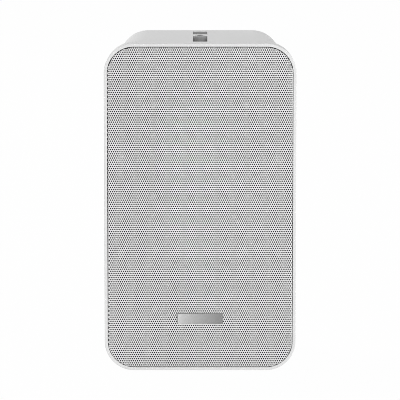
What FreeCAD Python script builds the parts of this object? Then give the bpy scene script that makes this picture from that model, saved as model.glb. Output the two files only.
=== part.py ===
"""Two-way wall loudspeaker: tapered moulded cabinet, perforated steel grille, cone woofer, horn tweeter.

Millimetres. +Z is up, the front faces -Y, and the origin is under the middle of the cabinet.
"Depth" in a name or a formula is the distance behind the front edge of the cabinet.
"""
import FreeCAD, Part
import math
import os
import re

import Sketcher

V = FreeCAD.Vector
NEAR = 1e-3
doc = FreeCAD.newDocument("loudspeaker")

# Driving dimensions, in millimetres and degrees
SIZES = {
    # cabinet
    "cabinet_width": 180.0,
    "cabinet_height": 311.0,
    "cabinet_depth": 125.0,
    "corner_radius": 27.8,
    "body_corner_radius": 31.2,
    "back_corner_radius": 26.2,
    "back_edge_radius": 5.0,
    "front_depth": 21.0,
    "front_side_taper": 1.44,
    "front_top_taper": 1.86,
    "shoulder": 2.9,
    "shoulder_step": 2.9,
    "body_side_taper": 5.79,
    "body_top_taper": 1.27,
    "wall": 2.85,
    "back_wall": 3.5,
    "rim_radius": 0.5,
    # bracket sockets in the top and the bottom
    "socket_width": 13.6,
    "socket_end": 107.0,
    "socket_depth": 13.0,
    "socket_wall": 2.4,
    "socket_boss_diameter": 19.0,
    "socket_boss_place": 76.0,
    "insert_diameter": 10.5,
    "insert_length": 11.0,
    "insert_bore": 6.8,
    "insert_sunk": 0.5,
    # baffle
    "baffle_place": 12.0,
    "baffle_thickness": 4.0,
    "baffle_fit": 0.3,
    "skirt_wall": 2.6,
    "post_diameter": 9.0,
    "post_length": 62.0,
    "post_rib": 2.4,
    "post_hole": 3.0,
    "post_hole_depth": 16.0,
    "post_side_inset": 15.8,
    "post_side_up": 44.8,
    "post_end_across": 49.3,
    "post_end_inset": 15.9,
    "screw_boss_diameter": 12.0,
    "screw_boss_height": 2.0,
    "port_inset": 20.0,
    "port_up": 91.0,
    "port_width": 10.0,
    "port_height": 62.0,
    "port_length": 40.0,
    "port_wall": 2.0,
    "seal_width": 3.2,
    "seal_thickness": 1.5,
    "ledge_thickness": 2.5,
    # grille and plate
    "grille_place": 1.2,
    "grille_gap": 0.45,
    "grille_sheet": 0.8,
    "grille_fold": 8.0,
    "grille_bend": 1.2,
    "hole_pitch": 20.0,
    "hole_diameter": 12.0,
    "hole_margin": 4.0,
    "plate_width": 41.0,
    "plate_height": 9.3,
    "plate_thickness": 1.0,
    "plate_corner": 0.8,
    "plate_drop": 106.0,
    # woofer
    "woofer_rise": 53.0,
    "woofer_margin": 24.0,
    "flange_width": 9.0,
    "roll_width": 11.0,
    "basket_sheet": 1.4,
    "basket_fit": 1.0,
    "basket_depth": 38.0,
    "basket_base": 80.0,
    "basket_window": 30.0,
    "basket_base_lip": 5.6,
    "spider_seat_depth": 24.0,
    "spider_seat": 78.0,
    "spider_seat_width": 4.2,
    "gasket_width": 7.0,
    "gasket_thickness": 2.6,
    "roll_height": 6.0,
    "roll_sheet": 0.8,
    "cone_depth": 20.0,
    "cone_curve": 130.0,
    "cone_sheet": 1.0,
    "cap_diameter": 38.0,
    "cap_rise": 7.0,
    "cap_sheet": 0.8,
    "glue_line": 0.1,
    "former_diameter": 26.0,
    "former_wall": 0.4,
    "former_length": 26.0,
    "coil_wall": 0.6,
    "coil_length": 10.0,
    "spider_sheet": 0.7,
    "spider_wave": 1.6,
    "gap_clearance": 0.45,
    "top_plate_diameter": 76.0,
    "top_plate_thickness": 5.0,
    "magnet_diameter": 80.0,
    "magnet_bore": 36.0,
    "magnet_thickness": 15.0,
    "yoke_thickness": 5.0,
    "tag_strip_width": 22.0,
    "tag_strip_height": 9.0,
    "tag_strip_thickness": 1.6,
    "tag_width": 5.0,
    "tag_length": 13.0,
    "tag_sheet": 0.8,
    "tag_spread": 6.0,
    # tweeter
    "tweeter_drop": 70.0,
    "horn_width": 92.0,
    "horn_height": 63.0,
    "horn_corner": 10.0,
    "horn_flange": 2.5,
    "horn_border": 7.0,
    "horn_wall": 2.2,
    "horn_length": 27.0,
    "flare_share_across": 0.32,
    "flare_share_up": 0.42,
    "throat_diameter": 17.0,
    "throat_round_share": 0.495,
    "neck_diameter": 50.0,
    "neck_length": 6.0,
    "chamber_depth": 4.5,
    "dome_diameter": 25.0,
    "dome_rise": 4.5,
    "dome_sheet": 0.4,
    "dome_coil_length": 4.0,
    "dome_coil_wall": 0.6,
    "dome_gap": 0.4,
    "suspension_width": 9.0,
    "suspension_sheet": 0.6,
    "tweeter_plate_thickness": 4.0,
    "tweeter_magnet_bore": 32.0,
    "tweeter_magnet_thickness": 8.0,
    "tweeter_yoke_thickness": 4.0,
    # terminals
    "cup_up": 80.0,
    "cup_width": 84.0,
    "cup_height": 60.0,
    "cup_corner": 8.0,
    "cup_flange": 2.4,
    "cup_sunk": 2.4,
    "cup_frame": 4.0,
    "cup_frame_border": 4.0,
    "cup_border": 9.0,
    "cup_wall": 2.0,
    "cup_depth": 15.0,
    "block_width": 50.0,
    "block_height": 28.0,
    "block_thickness": 5.0,
    "ear_width": 3.0,
    "ear_height": 9.0,
    "pin_diameter": 2.0,
    "pin_stand": 5.5,
    "pin_up": 8.0,
    "pin_running": 0.05,
    "knuckle_diameter": 5.0,
    "lever_side_play": 0.4,
    "lever_length": 15.0,
    "lever_thickness": 2.6,
    "wire_hole": 4.0,
    "wire_hole_drop": 10.0,
    "contact_width": 7.0,
    "contact_sheet": 0.6,
    "contact_length": 16.0,
    # crossover
    "board_rise": 4.5,
    "board_width": 92.0,
    "board_height": 52.0,
    "board_thickness": 1.6,
    "stand_off": 7.0,
    "stand_off_diameter": 7.0,
    "board_hole_inset": 5.0,
    "coil_former_diameter": 30.0,
    "coil_former_height": 16.0,
    "coil_former_cheek": 1.6,
    "coil_former_core": 14.0,
    "coil_across": 24.0,
    "capacitor_diameter": 13.0,
    "capacitor_length": 30.0,
    "capacitor_across": 14.0,
    "capacitor_spread": 9.0,
    "resistor_length": 34.0,
    "resistor_width": 9.0,
    "resistor_up": 21.0,
    # wadding
    "wadding_drop": 61.0,
    "wadding_width": 116.0,
    "wadding_height": 78.0,
    "wadding_thickness": 18.0,
    "wadding_corner": 9.0,
    # fasteners
    "screw_head_diameter": 7.0,
    "screw_head_height": 2.2,
    "screw_shank": 3.4,
    "screw_length": 14.0,
    "screw_drive": 3.2,
    "screw_drive_slot": 0.8,
    "screw_drive_depth": 1.1,
    "small_screw_head": 5.6,
    "small_screw_length": 7.0,
    "small_screw_shank": 2.4,
}

sheet = doc.addObject("Spreadsheet::Sheet", "dims")
for row, (alias, value) in enumerate(SIZES.items(), start=1):
    sheet.set("A%d" % row, alias)
    sheet.set("B%d" % row, str(value))
    sheet.setAlias("B%d" % row, alias)
doc.recompute()

# Sizes and places that follow from others
DERIVED = {
    "woofer_diameter": "(cabinet_width - 2 * woofer_margin)",
    "basket_mouth": "(cabinet_width - 2 * woofer_margin - 2 * flange_width)",
    "cone_diameter": "(cabinet_width - 2 * woofer_margin - 2 * flange_width - 2 * roll_width)",
    "post_side_across": "(cabinet_width / 2 - post_side_inset)",
    "post_end_up": "(cabinet_height / 2 - post_end_inset)",
    "port_across": "(cabinet_width / 2 - port_inset)",
    "board_up": "(cabinet_height / 2 + board_rise)",
    "wadding_up": "(cabinet_height - wadding_drop)",
}

# Formulas that several pieces share
MID = "(cabinet_height / 2)"
FRONT = "(-cabinet_depth / 2)"
BAFFLE_BACK = "(baffle_place + baffle_thickness)"
BACK_INSIDE = "(cabinet_depth - back_wall)"
LEDGE_FRONT = "(baffle_place + baffle_thickness + seal_thickness)"
BAFFLE_EDGE = "(wall + baffle_fit)"
SOCKET_FRONT = "(baffle_place + baffle_thickness + seal_thickness + socket_wall)"
WOOFER_UP = "(cabinet_height / 2 + woofer_rise)"
TWEETER_UP = "(cabinet_height / 2 - tweeter_drop)"
GRILLE_INSET = "(wall + grille_gap)"
FOLD_END = "(grille_place + grille_fold)"
SHOULDER_START = "(front_depth - shoulder / 2)"
SHOULDER_END = "(front_depth + shoulder / 2)"
BODY_INSET = "(front_depth * tan(front_side_taper) + shoulder_step)"
BODY_DROP = "(front_depth * tan(front_top_taper))"

subparts = []


def spelled_out(text):
    """The text with each derived name replaced by its formula."""
    return re.sub(r"[a-z_]+", lambda word: DERIVED.get(word[0], word[0]), str(text))


def formula(text):
    """The text in driving sizes only, each pointing at its cell."""
    def cell(word):
        return "dims." + word[0] if word[0] in SIZES else word[0]
    return re.sub(r"[a-z_]+", cell, spelled_out(text))


def number(text):
    """The value of a formula at the sizes in the sheet."""
    return float(sheet.evalExpression(spelled_out(text)))


def bind(thing, **formulas):
    """Ties properties to formulas; a double underscore stands for a dot."""
    for name, text in formulas.items():
        thing.setExpression(name.replace("__", "."), formula(text))


def keep(label, thing):
    """Makes a finished object a sub-part of the loudspeaker."""
    thing.Label = label
    subparts.append(thing)
    return thing


# Sketches

def origin_plane(body, role):
    return next(plane for plane in body.Origin.OriginFeatures if plane.Role == role)


def sketch_in(body, role, across="0", up="0", out="0"):
    """A sketch on one of the body's own origin planes, shifted within it and off it."""
    sketch = body.newObject("Sketcher::SketchObject", body.Name + "_sketch")
    sketch.AttachmentSupport = (origin_plane(body, role), [""])
    sketch.MapMode = "FlatFace"
    bind(sketch, AttachmentOffset__Base__x=across, AttachmentOffset__Base__y=up,
         AttachmentOffset__Base__z=out)
    return sketch


def face_sketch(body, depth):
    """A sketch seen from the front: x across, y up from the floor."""
    return sketch_in(body, "XZ_Plane", out="cabinet_depth / 2 - (%s)" % depth)


def axis_sketch(body, up):
    """A sketch for turned pieces: x is the depth, y is the radius about an axis at that height."""
    return sketch_in(body, "YZ_Plane", across=FRONT, up=up)


def fix(sketch, kind, *where):
    """Adds a dimension whose last argument is a formula."""
    index = sketch.addConstraint(Sketcher.Constraint(kind, *where[:-1], number(where[-1])))
    sketch.setExpression("Constraints[%d]" % index, formula(where[-1]))


def circle(sketch, diameter, x="0", y="0"):
    item = sketch.addGeometry(Part.Circle(V(number(x), number(y), 0), V(0, 0, 1), number(diameter) / 2))
    fix(sketch, "Diameter", item, diameter)
    fix(sketch, "DistanceX", -1, 1, item, 3, x)
    fix(sketch, "DistanceY", -1, 1, item, 3, y)


def arc_between(start, end, radius):
    """An arc that bulges to the left of the way to the end, or to the right if the radius is negative."""
    chord = end - start
    left = V(-chord.y, chord.x, 0).normalize()
    bulge = abs(radius) - math.sqrt(radius * radius - chord.Length ** 2 / 4)
    crown = (start + end) * 0.5 + left * math.copysign(bulge, radius)
    return Part.Arc(start, crown, end)


def outline(sketch, points):
    """A closed outline through points given as formulas; a third one is the radius of an arc to the next."""
    values = [V(number(point[0]), number(point[1]), 0) for point in points]
    runs = []
    for index, start in enumerate(values):
        end = values[(index + 1) % len(values)]
        if len(points[index]) == 3:
            item = sketch.addGeometry(arc_between(start, end, number(points[index][2])))
            fix(sketch, "Radius", item, "abs(%s)" % points[index][2])
        else:
            item = sketch.addGeometry(Part.LineSegment(start, end))
        off_first, off_second = [sketch.getPoint(item, tip).distanceToPoint(start) for tip in (1, 2)]
        runs.append((item, 1, 2) if off_first < off_second else (item, 2, 1))
    for index, (item, first, last) in enumerate(runs):
        following, following_first, _ = runs[(index + 1) % len(runs)]
        sketch.addConstraint(Sketcher.Constraint("Coincident", item, last, following, following_first))
        fix(sketch, "DistanceX", -1, 1, item, first, points[index][0])
        fix(sketch, "DistanceY", -1, 1, item, first, points[index][1])


def rounded_rectangle(sketch, width, height, radius, x="0", y="0"):
    """Four sides and four corner arcs; each arc's centre and ends are dimensioned."""
    half_w, half_h, r = number(width) / 2, number(height) / 2, number(radius)
    cx, cy = number(x), number(y)
    corners = ((1, 1), (-1, 1), (-1, -1), (1, -1))
    quarter = math.pi / 2
    arcs = []
    for turn, (sx, sy) in enumerate(corners):
        rim = Part.Circle(V(cx + sx * (half_w - r), cy + sy * (half_h - r), 0), V(0, 0, 1), r)
        arcs.append(sketch.addGeometry(Part.ArcOfCircle(rim, turn * quarter, (turn + 1) * quarter)))
    lines = []
    for index, arc in enumerate(arcs):
        following = arcs[(index + 1) % 4]
        start = sketch.getPoint(arc, 2)
        end = sketch.getPoint(following, 1)
        lines.append(sketch.addGeometry(Part.LineSegment(start, end)))
    for index, arc in enumerate(arcs):
        following = arcs[(index + 1) % 4]
        sketch.addConstraint(Sketcher.Constraint("Tangent", arc, 2, lines[index], 1))
        sketch.addConstraint(Sketcher.Constraint("Tangent", lines[index], 2, following, 1))
        fix(sketch, "Radius", arc, radius)
        sx, sy = corners[index]
        if index in (0, 2):
            fix(sketch, "DistanceX", -1, 1, arc, 3, "(%s) + %d * ((%s) / 2 - (%s))" % (x, sx, width, radius))
            fix(sketch, "DistanceY", -1, 1, arc, 3, "(%s) + %d * ((%s) / 2 - (%s))" % (y, sy, height, radius))
    for index in (0, 2):
        sketch.addConstraint(Sketcher.Constraint("Horizontal", lines[index]))
        sketch.addConstraint(Sketcher.Constraint("Vertical", lines[index + 1]))


# Features

def new_body(name):
    return doc.addObject("PartDesign::Body", name)


def pad(body, sketch, length):
    """Material from the sketch towards the back."""
    feature = body.newObject("PartDesign::Pad", body.Name + "_pad")
    feature.Profile = sketch
    feature.Reversed = True
    bind(feature, Length=length)
    return feature


def pocket(body, sketch, length):
    """A cut from the sketch towards the back."""
    feature = body.newObject("PartDesign::Pocket", body.Name + "_pocket")
    feature.Profile = sketch
    bind(feature, Length=length)
    return feature


def turned(name, up, *profiles):
    """A piece turned about an axis along the depth, one revolve for each closed profile."""
    body = new_body(name)
    for points in profiles:
        sketch = axis_sketch(body, up)
        outline(sketch, points)
        feature = body.newObject("PartDesign::Revolution", name + "_turn")
        feature.Profile = sketch
        feature.ReferenceAxis = (sketch, ["H_Axis"])
        feature.Angle = 360
    return body


def ring(name, up, inner, outer, depth, thickness):
    """A flat ring: inner and outer diameters, front depth and thickness."""
    inside, outside = "(%s) / 2" % inner, "(%s) / 2" % outer
    end = "(%s) + (%s)" % (depth, thickness)
    return turned(name, up, [(depth, inside), (end, inside), (end, outside), (depth, outside)])


def rod(name, diameter, length, x, depth, z):
    """A round bar that runs from a depth towards the back."""
    bar = doc.addObject("Part::Cylinder", name)
    bar.Placement.Rotation = FreeCAD.Rotation(V(1, 0, 0), -90)
    bind(bar, Radius="(%s) / 2" % diameter, Height=length, Placement__Base__x=x,
         Placement__Base__y="%s + (%s)" % (FRONT, depth), Placement__Base__z=z)
    return bar


def upright(name, diameter, length, x, depth, z):
    """A round bar that stands up from a height."""
    bar = doc.addObject("Part::Cylinder", name)
    bind(bar, Radius="(%s) / 2" % diameter, Height=length, Placement__Base__x=x,
         Placement__Base__y="%s + (%s)" % (FRONT, depth), Placement__Base__z=z)
    return bar


def crossbar(name, diameter, length, x, depth, z):
    """A round bar along X, centred on x."""
    bar = doc.addObject("Part::Cylinder", name)
    bar.Placement.Rotation = FreeCAD.Rotation(V(0, 1, 0), 90)
    bind(bar, Radius="(%s) / 2" % diameter, Height=length, Placement__Base__x="(%s) - (%s) / 2" % (x, length),
         Placement__Base__y="%s + (%s)" % (FRONT, depth), Placement__Base__z=z)
    return bar


def block(name, width, thickness, height, x, depth, z):
    """A box centred on x and z that runs from a depth towards the back."""
    box = doc.addObject("Part::Box", name)
    bind(box, Length=width, Width=thickness, Height=height,
         Placement__Base__x="(%s) - (%s) / 2" % (x, width),
         Placement__Base__y="%s + (%s)" % (FRONT, depth),
         Placement__Base__z="(%s) - (%s) / 2" % (z, height))
    return box


def fuse(name, pieces):
    joined = doc.addObject("Part::MultiFuse", name)
    joined.Shapes = pieces
    joined.Refine = True
    return joined


def cut(name, base, tools):
    tools = list(tools)
    result = doc.addObject("Part::Cut", name)
    result.Base = base
    result.Tool = tools[0] if len(tools) == 1 else fuse(name + "_tools", tools)
    result.Refine = True
    return result


def group(name, pieces):
    """Separate solids that share a node."""
    joined = doc.addObject("Part::Compound", name)
    joined.Links = pieces
    return joined


def section(name, depth, width, height, radius, up):
    """A loose rounded-rectangle sketch that faces the front at a depth."""
    sketch = doc.addObject("Sketcher::SketchObject", name)
    sketch.Placement.Rotation = FreeCAD.Rotation(V(1, 0, 0), 90)
    bind(sketch, Placement__Base__y="%s + (%s)" % (FRONT, depth))
    rounded_rectangle(sketch, width, height, radius, y=up)
    return sketch


def loft(name, sections, ruled=True):
    solid = doc.addObject("Part::Loft", name)
    solid.Sections = sections
    solid.Solid = True
    solid.Ruled = ruled
    return solid


def band_slice(name, depth, inset):
    """The section of the cabinet's front band at a depth, at an even distance inside its outer faces."""
    width = "cabinet_width - 2 * (%s) * tan(front_side_taper) - 2 * (%s)" % (depth, inset)
    height = "cabinet_height - 2 * (%s) * tan(front_top_taper) - 2 * (%s)" % (depth, inset)
    return section(name, depth, width, height, "corner_radius - (%s)" % inset, MID)


def body_slice(name, depth, inset):
    """The same for the narrower body behind the band."""
    behind = "((%s) - front_depth)" % depth
    width = "cabinet_width - 2 * (%s + %s * tan(body_side_taper) + (%s))" % (BODY_INSET, behind, inset)
    height = "cabinet_height - 2 * (%s + %s * tan(body_top_taper) + (%s))" % (BODY_DROP, behind, inset)
    shrink = "(body_corner_radius - back_corner_radius) * %s / (cabinet_depth - front_depth)" % behind
    return section(name, depth, width, height, "body_corner_radius - %s - (%s)" % (shrink, inset), MID)


def tapered(name, inset, start, end):
    """A block that follows the front band's taper."""
    return loft(name, [band_slice(name + "_front", start, inset), band_slice(name + "_back", end, inset)])


def cabinet_form(name, inset, start, end):
    """Front band, shoulder and body in one block; the shoulder moves forward with the wall's inside."""
    forward = "(%s) / 2" % inset
    return loft(name, [band_slice(name + "_front", start, inset),
                       band_slice(name + "_band_end", "%s - %s" % (SHOULDER_START, forward), inset),
                       body_slice(name + "_body_start", "%s - %s" % (SHOULDER_END, forward), inset),
                       body_slice(name + "_back", end, inset)])


def rounded_edges(name, base, radius, depth):
    """The base with every edge that lies in the plane at a depth rounded over."""
    doc.recompute()
    place = number("%s + (%s)" % (FRONT, depth))
    chosen = []
    for index, edge in enumerate(base.Shape.Edges, start=1):
        box = edge.BoundBox
        if abs(box.YMin - place) < NEAR and abs(box.YMax - place) < NEAR:
            chosen.append((index, number(radius), number(radius)))
    rounded = doc.addObject("Part::Fillet", name)
    rounded.Base = base
    rounded.Edges = chosen
    return rounded


# Places that repeat

QUARTERS = [(sx, sz) for sx in (-1, 1) for sz in (-1, 1)]


def mirrored(across, up, middle):
    """The four places at plus and minus two distances from the cabinet's middle plane and a height."""
    return [("%d * (%s)" % (sx, across), "%s + %d * (%s)" % (middle, sz, up)) for sx, sz in QUARTERS]


BAFFLE_POSTS = mirrored("post_side_across", "post_side_up", MID)
BAFFLE_POSTS += mirrored("post_end_across", "post_end_up", MID)
BAFFLE_FRONT = "(baffle_place - screw_boss_height)"
HORN_SCREWS = mirrored("(horn_width - horn_border) / 2", "(horn_height - horn_border) / 2", TWEETER_UP)
CUP_SCREWS = mirrored("(cup_width - cup_border) / 2", "(cup_height - cup_border) / 2", "cup_up")
BOARD_HOLES = mirrored("board_width / 2 - board_hole_inset", "board_height / 2 - board_hole_inset",
                       "board_up")
CUP_FACE = "(cabinet_depth - cup_sunk)"
CUP_SEAT = "(cabinet_depth - cup_sunk - cup_flange)"
BOARD_BACK = "(cabinet_depth - back_wall - stand_off)"
BOARD_FRONT = "(%s - board_thickness)" % BOARD_BACK
WOOFER_SCREW_SPREAD = "(woofer_diameter + basket_mouth) / 4 * sqrt(1 / 2)"
WOOFER_SCREWS = mirrored(WOOFER_SCREW_SPREAD, WOOFER_SCREW_SPREAD, WOOFER_UP)


# Cabinet: one moulding, open at the front, whose wall ends are the rim round the grille

def body_level(side, depth):
    """Height of the body's outer face at a depth, on the top (1) or the bottom (-1)."""
    fall = "%s + (%s - front_depth) * tan(body_top_taper)" % (BODY_DROP, depth)
    return "(%s + %d * (cabinet_height / 2 - (%s)))" % (MID, side, fall)


def socket_housing(side):
    """The thickened wall round one bracket socket, for filling into the cavity."""
    reach = "(socket_depth + socket_wall)"
    length = "socket_end - %s + 2 * socket_wall" % SOCKET_FRONT
    return block("socket_housing", "socket_width + 2 * socket_wall", length, "2 * %s" % reach, "0",
                 "%s - socket_wall" % SOCKET_FRONT, body_level(side, "socket_end"))


def socket_hollow(side):
    """The two cored pockets of one socket, in front of its round boss and behind it."""
    well = block("socket_well", "socket_width", "socket_end - %s" % SOCKET_FRONT, "2 * socket_depth", "0",
                 SOCKET_FRONT, body_level(side, "socket_end"))
    boss = upright("socket_boss", "socket_boss_diameter", "4 * socket_depth", "0", "socket_boss_place",
                   "%s - 2 * socket_depth" % body_level(side, "socket_end"))
    return cut("socket_pockets", well, [boss])


def insert_foot(side):
    """Lowest point of the insert in the boss."""
    seat = body_level(side, "socket_boss_place")
    if side > 0:
        return "%s - insert_sunk - insert_length" % seat
    return "%s + insert_sunk" % seat


def insert_hole(side):
    """A blind hole through the boss's outer end for the threaded insert."""
    length = "insert_length + 2 * insert_sunk"
    foot = insert_foot(side)
    if side < 0:
        foot += " - 2 * insert_sunk"
    return upright("insert_hole", "insert_diameter", length, "0", "socket_boss_place", foot)


def post_ribs():
    """The ribs that tie each baffle post to the nearest wall."""
    length = "post_length - seal_thickness"
    ribs = []
    for sx, sz in QUARTERS:
        ribs.append(block("post_rib", "post_side_inset", length, "post_rib",
                          "%d * (cabinet_width - post_side_inset) / 2" % sx, LEDGE_FRONT,
                          "%s + %d * post_side_up" % (MID, sz)))
        ribs.append(block("post_rib", "post_rib", length, "post_end_inset",
                          "%d * post_end_across" % sx, LEDGE_FRONT,
                          "%s + %d * (cabinet_height - post_end_inset) / 2" % (MID, sz)))
    return ribs


def ledge():
    """The step inside the wall that the baffle's seal presses on."""
    end = "%s + ledge_thickness" % LEDGE_FRONT
    return cut("ledge", tapered("ledge_block", "wall / 2", LEDGE_FRONT, end),
               [tapered("ledge_space", "%s + seal_width" % BAFFLE_EDGE, "%s - ledge_thickness" % LEDGE_FRONT,
                        "%s + ledge_thickness" % end)])


def cabinet():
    hull = rounded_edges("cabinet_hull", cabinet_form("cabinet_block", "0", "0", "cabinet_depth"),
                         "back_edge_radius", "cabinet_depth")
    cavity = cabinet_form("cabinet_cavity", "wall", "-wall", BACK_INSIDE)
    fillers = [socket_housing(side) for side in (-1, 1)] + [ledge(), cup_frame()]
    fillers += [rod("post", "post_diameter", "post_length", x, BAFFLE_BACK, z) for x, z in BAFFLE_POSTS]
    fillers += post_ribs()
    fillers += [rod("stand_off_post", "stand_off_diameter", "stand_off + back_wall", x, BOARD_BACK, z)
                for x, z in BOARD_HOLES]
    shell = cut("cabinet_shell", hull, [cut("cabinet_space", cavity, fillers)])
    cuts = [socket_hollow(side) for side in (-1, 1)]
    cuts += [insert_hole(side) for side in (-1, 1)]
    cuts += [rod("post_hole", "post_hole", "post_hole_depth", x, BAFFLE_BACK, z) for x, z in BAFFLE_POSTS]
    cuts += [rod("board_hole", "small_screw_shank", "small_screw_length", x, BOARD_FRONT, z)
             for x, z in BOARD_HOLES]
    cuts.append(cup_window())
    return keep("cabinet", rounded_edges("cabinet", cut("cabinet_machined", shell, cuts), "rim_radius", "0"))


def cup_frame():
    """The thicker part of the back wall that the terminal cup is let into."""
    return block("cup_frame", "cup_width + 2 * cup_frame_border", "cup_frame + back_wall",
                 "cup_height + 2 * cup_frame_border", "0", "%s - cup_frame" % BACK_INSIDE, "cup_up")


def cup_window():
    """The rebate for the terminal cup's flange and the opening that the cup passes through."""
    size = ("cup_width + 2 * baffle_fit", "cup_height + 2 * baffle_fit", "cup_corner + baffle_fit", "cup_up")
    rebate = loft("cup_rebate", [section("cup_rebate_in", CUP_SEAT, *size),
                                 section("cup_rebate_out", "cabinet_depth + cup_flange", *size)])
    passage = block("cup_passage", "cup_width - 2 * cup_border + 2 * baffle_fit", "2 * cup_depth",
                    "cup_height - 2 * cup_border + 2 * baffle_fit", "0",
                    "cabinet_depth - 2 * cup_depth", "cup_up")
    pilots = [rod("cup_pilot", "small_screw_shank", "2 * cup_frame + back_wall", x,
                  "%s - cup_frame" % BACK_INSIDE, z) for x, z in CUP_SCREWS]
    return fuse("cup_window", [rebate, passage] + pilots)


def insert(label, side):
    sleeve = upright(label + "_sleeve", "insert_diameter", "insert_length", "0", "socket_boss_place",
                     insert_foot(side))
    bore = upright(label + "_bore", "insert_bore", "insert_length", "0", "socket_boss_place",
                   insert_foot(side))
    return keep(label, cut(label, sleeve, [bore]))


# Front: baffle, seal, grille and plate

def baffle():
    board = tapered("baffle_board", BAFFLE_EDGE, "baffle_place", BAFFLE_BACK)
    skirt = cut("baffle_skirt", tapered("baffle_skirt_block", BAFFLE_EDGE, FOLD_END, "baffle_place"),
                [tapered("baffle_skirt_space", "%s + skirt_wall" % BAFFLE_EDGE, "%s - skirt_wall" % FOLD_END,
                         "baffle_place")])
    bosses = [rod("screw_boss", "screw_boss_diameter", "screw_boss_height", x, BAFFLE_FRONT, z)
              for x, z in BAFFLE_POSTS]
    ducts = [block("port_duct", "port_width + 2 * port_wall", "port_length", "port_height + 2 * port_wall",
                   "%d * port_across" % side, "baffle_place", "%s + port_up" % MID) for side in (-1, 1)]
    cuts = [rod("woofer_opening", "basket_mouth + 2 * basket_fit", "3 * baffle_thickness", "0",
                "baffle_place - baffle_thickness", WOOFER_UP)]
    cuts.append(block("horn_opening", "horn_width - 2 * horn_border + 2 * baffle_fit", "3 * baffle_thickness",
                      "horn_height - 2 * horn_border + 2 * baffle_fit", "0",
                      "baffle_place - baffle_thickness", TWEETER_UP))
    cuts += [block("port_slot", "port_width", "port_length + 2 * port_wall", "port_height",
                   "%d * port_across" % side, "baffle_place - port_wall", "%s + port_up" % MID)
             for side in (-1, 1)]
    cuts += [rod("baffle_hole", "screw_shank + 2 * baffle_fit", "3 * baffle_thickness", x,
                 "baffle_place - baffle_thickness", z) for x, z in BAFFLE_POSTS]
    cuts += [rod("driver_pilot", "small_screw_shank", "3 * baffle_thickness", x,
                 "baffle_place - baffle_thickness", z) for x, z in WOOFER_SCREWS + HORN_SCREWS]
    moulding = fuse("baffle_moulding", [board, skirt] + bosses + ducts)
    return keep("front_baffle", cut("front_baffle", moulding, cuts))


def baffle_seal():
    """The foam ring between the back of the baffle and the cabinet's ledge."""
    strip = tapered("seal_block", BAFFLE_EDGE, BAFFLE_BACK, LEDGE_FRONT)
    hollow = tapered("seal_space", "%s + seal_width" % BAFFLE_EDGE, "%s - seal_thickness" % BAFFLE_BACK,
                     "%s + seal_thickness" % LEDGE_FRONT)
    return keep("baffle_seal", cut("baffle_seal", strip, [hollow]))


def grille_holes(body, face, columns, rows, shift):
    """One punched hole and its copies across the sheet and up every second row."""
    span_x = "(%s - 1) * hole_pitch" % columns
    span_z = "(%s - 1) * 2 * hole_pitch" % rows
    sketch = face_sketch(body, face)
    circle(sketch, "hole_diameter", "-(%s) / 2" % span_x, "%s - (%s) / 2" % (MID, span_z))
    punch = pocket(body, sketch, "4 * grille_sheet")
    copies = body.newObject("PartDesign::LinearPattern", "grille_holes_" + shift)
    copies.Originals = [punch]
    copies.Direction = (sketch, ["H_Axis"])
    copies.Direction2 = (sketch, ["V_Axis"])
    bind(copies, Length=span_x, Occurrences=columns, Length2=span_z, Occurrences2=rows)
    body.Tip = copies
    return copies


def grille():
    """A steel tray: flat front, rounded bend, folded edge that follows the cabinet wall, staggered holes."""
    outer = tapered("grille_outer", GRILLE_INSET, "grille_place", FOLD_END)
    blank = rounded_edges("grille_blank", outer, "grille_bend", "grille_place")
    inside = tapered("grille_inside", "%s + grille_sheet" % GRILLE_INSET, "grille_place + grille_sheet",
                     "%s + grille_sheet" % FOLD_END)
    space = rounded_edges("grille_space", inside, "grille_bend - grille_sheet", "grille_place + grille_sheet")
    tray = cut("grille_tray", blank, [space])
    doc.recompute()
    body = new_body("grille")
    body.BaseFeature = tray
    border = "2 * %s - 2 * hole_margin - hole_diameter" % GRILLE_INSET
    columns = "floor((cabinet_width - %s) / hole_pitch + 1)" % border
    rows = "floor((cabinet_height - %s) / (2 * hole_pitch) + 1)" % border
    doc.recompute()
    grille_holes(body, "grille_place - grille_sheet", columns, rows, "even")
    doc.recompute()
    grille_holes(body, "grille_place - grille_sheet", columns + " - 1", rows + " - 1", "odd")
    return keep("grille", body)


def name_plate():
    body = new_body("name_plate")
    sketch = face_sketch(body, "grille_place - plate_thickness")
    rounded_rectangle(sketch, "plate_width", "plate_height", "plate_corner", y="%s - plate_drop" % MID)
    pad(body, sketch, "plate_thickness")
    return keep("name_plate", body)


# Woofer, front to back

FLANGE_FRONT = "(baffle_place - basket_sheet)"
COIL_RADIUS = "(former_diameter / 2)"
CONE_BACK = "(baffle_place + cone_depth)"
PLATE_FRONT = "(baffle_place + basket_depth)"
PLATE_BACK = "(baffle_place + basket_depth + top_plate_thickness)"
YOKE_FRONT = "(baffle_place + basket_depth + top_plate_thickness + magnet_thickness)"
SPIDER_FRONT = "(baffle_place + spider_seat_depth)"
POLE_RADIUS = "(former_diameter / 2 - former_wall - gap_clearance)"
GAP_RADIUS = "(former_diameter / 2 + coil_wall + gap_clearance)"
SPIDER_ROLLS = 7


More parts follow.
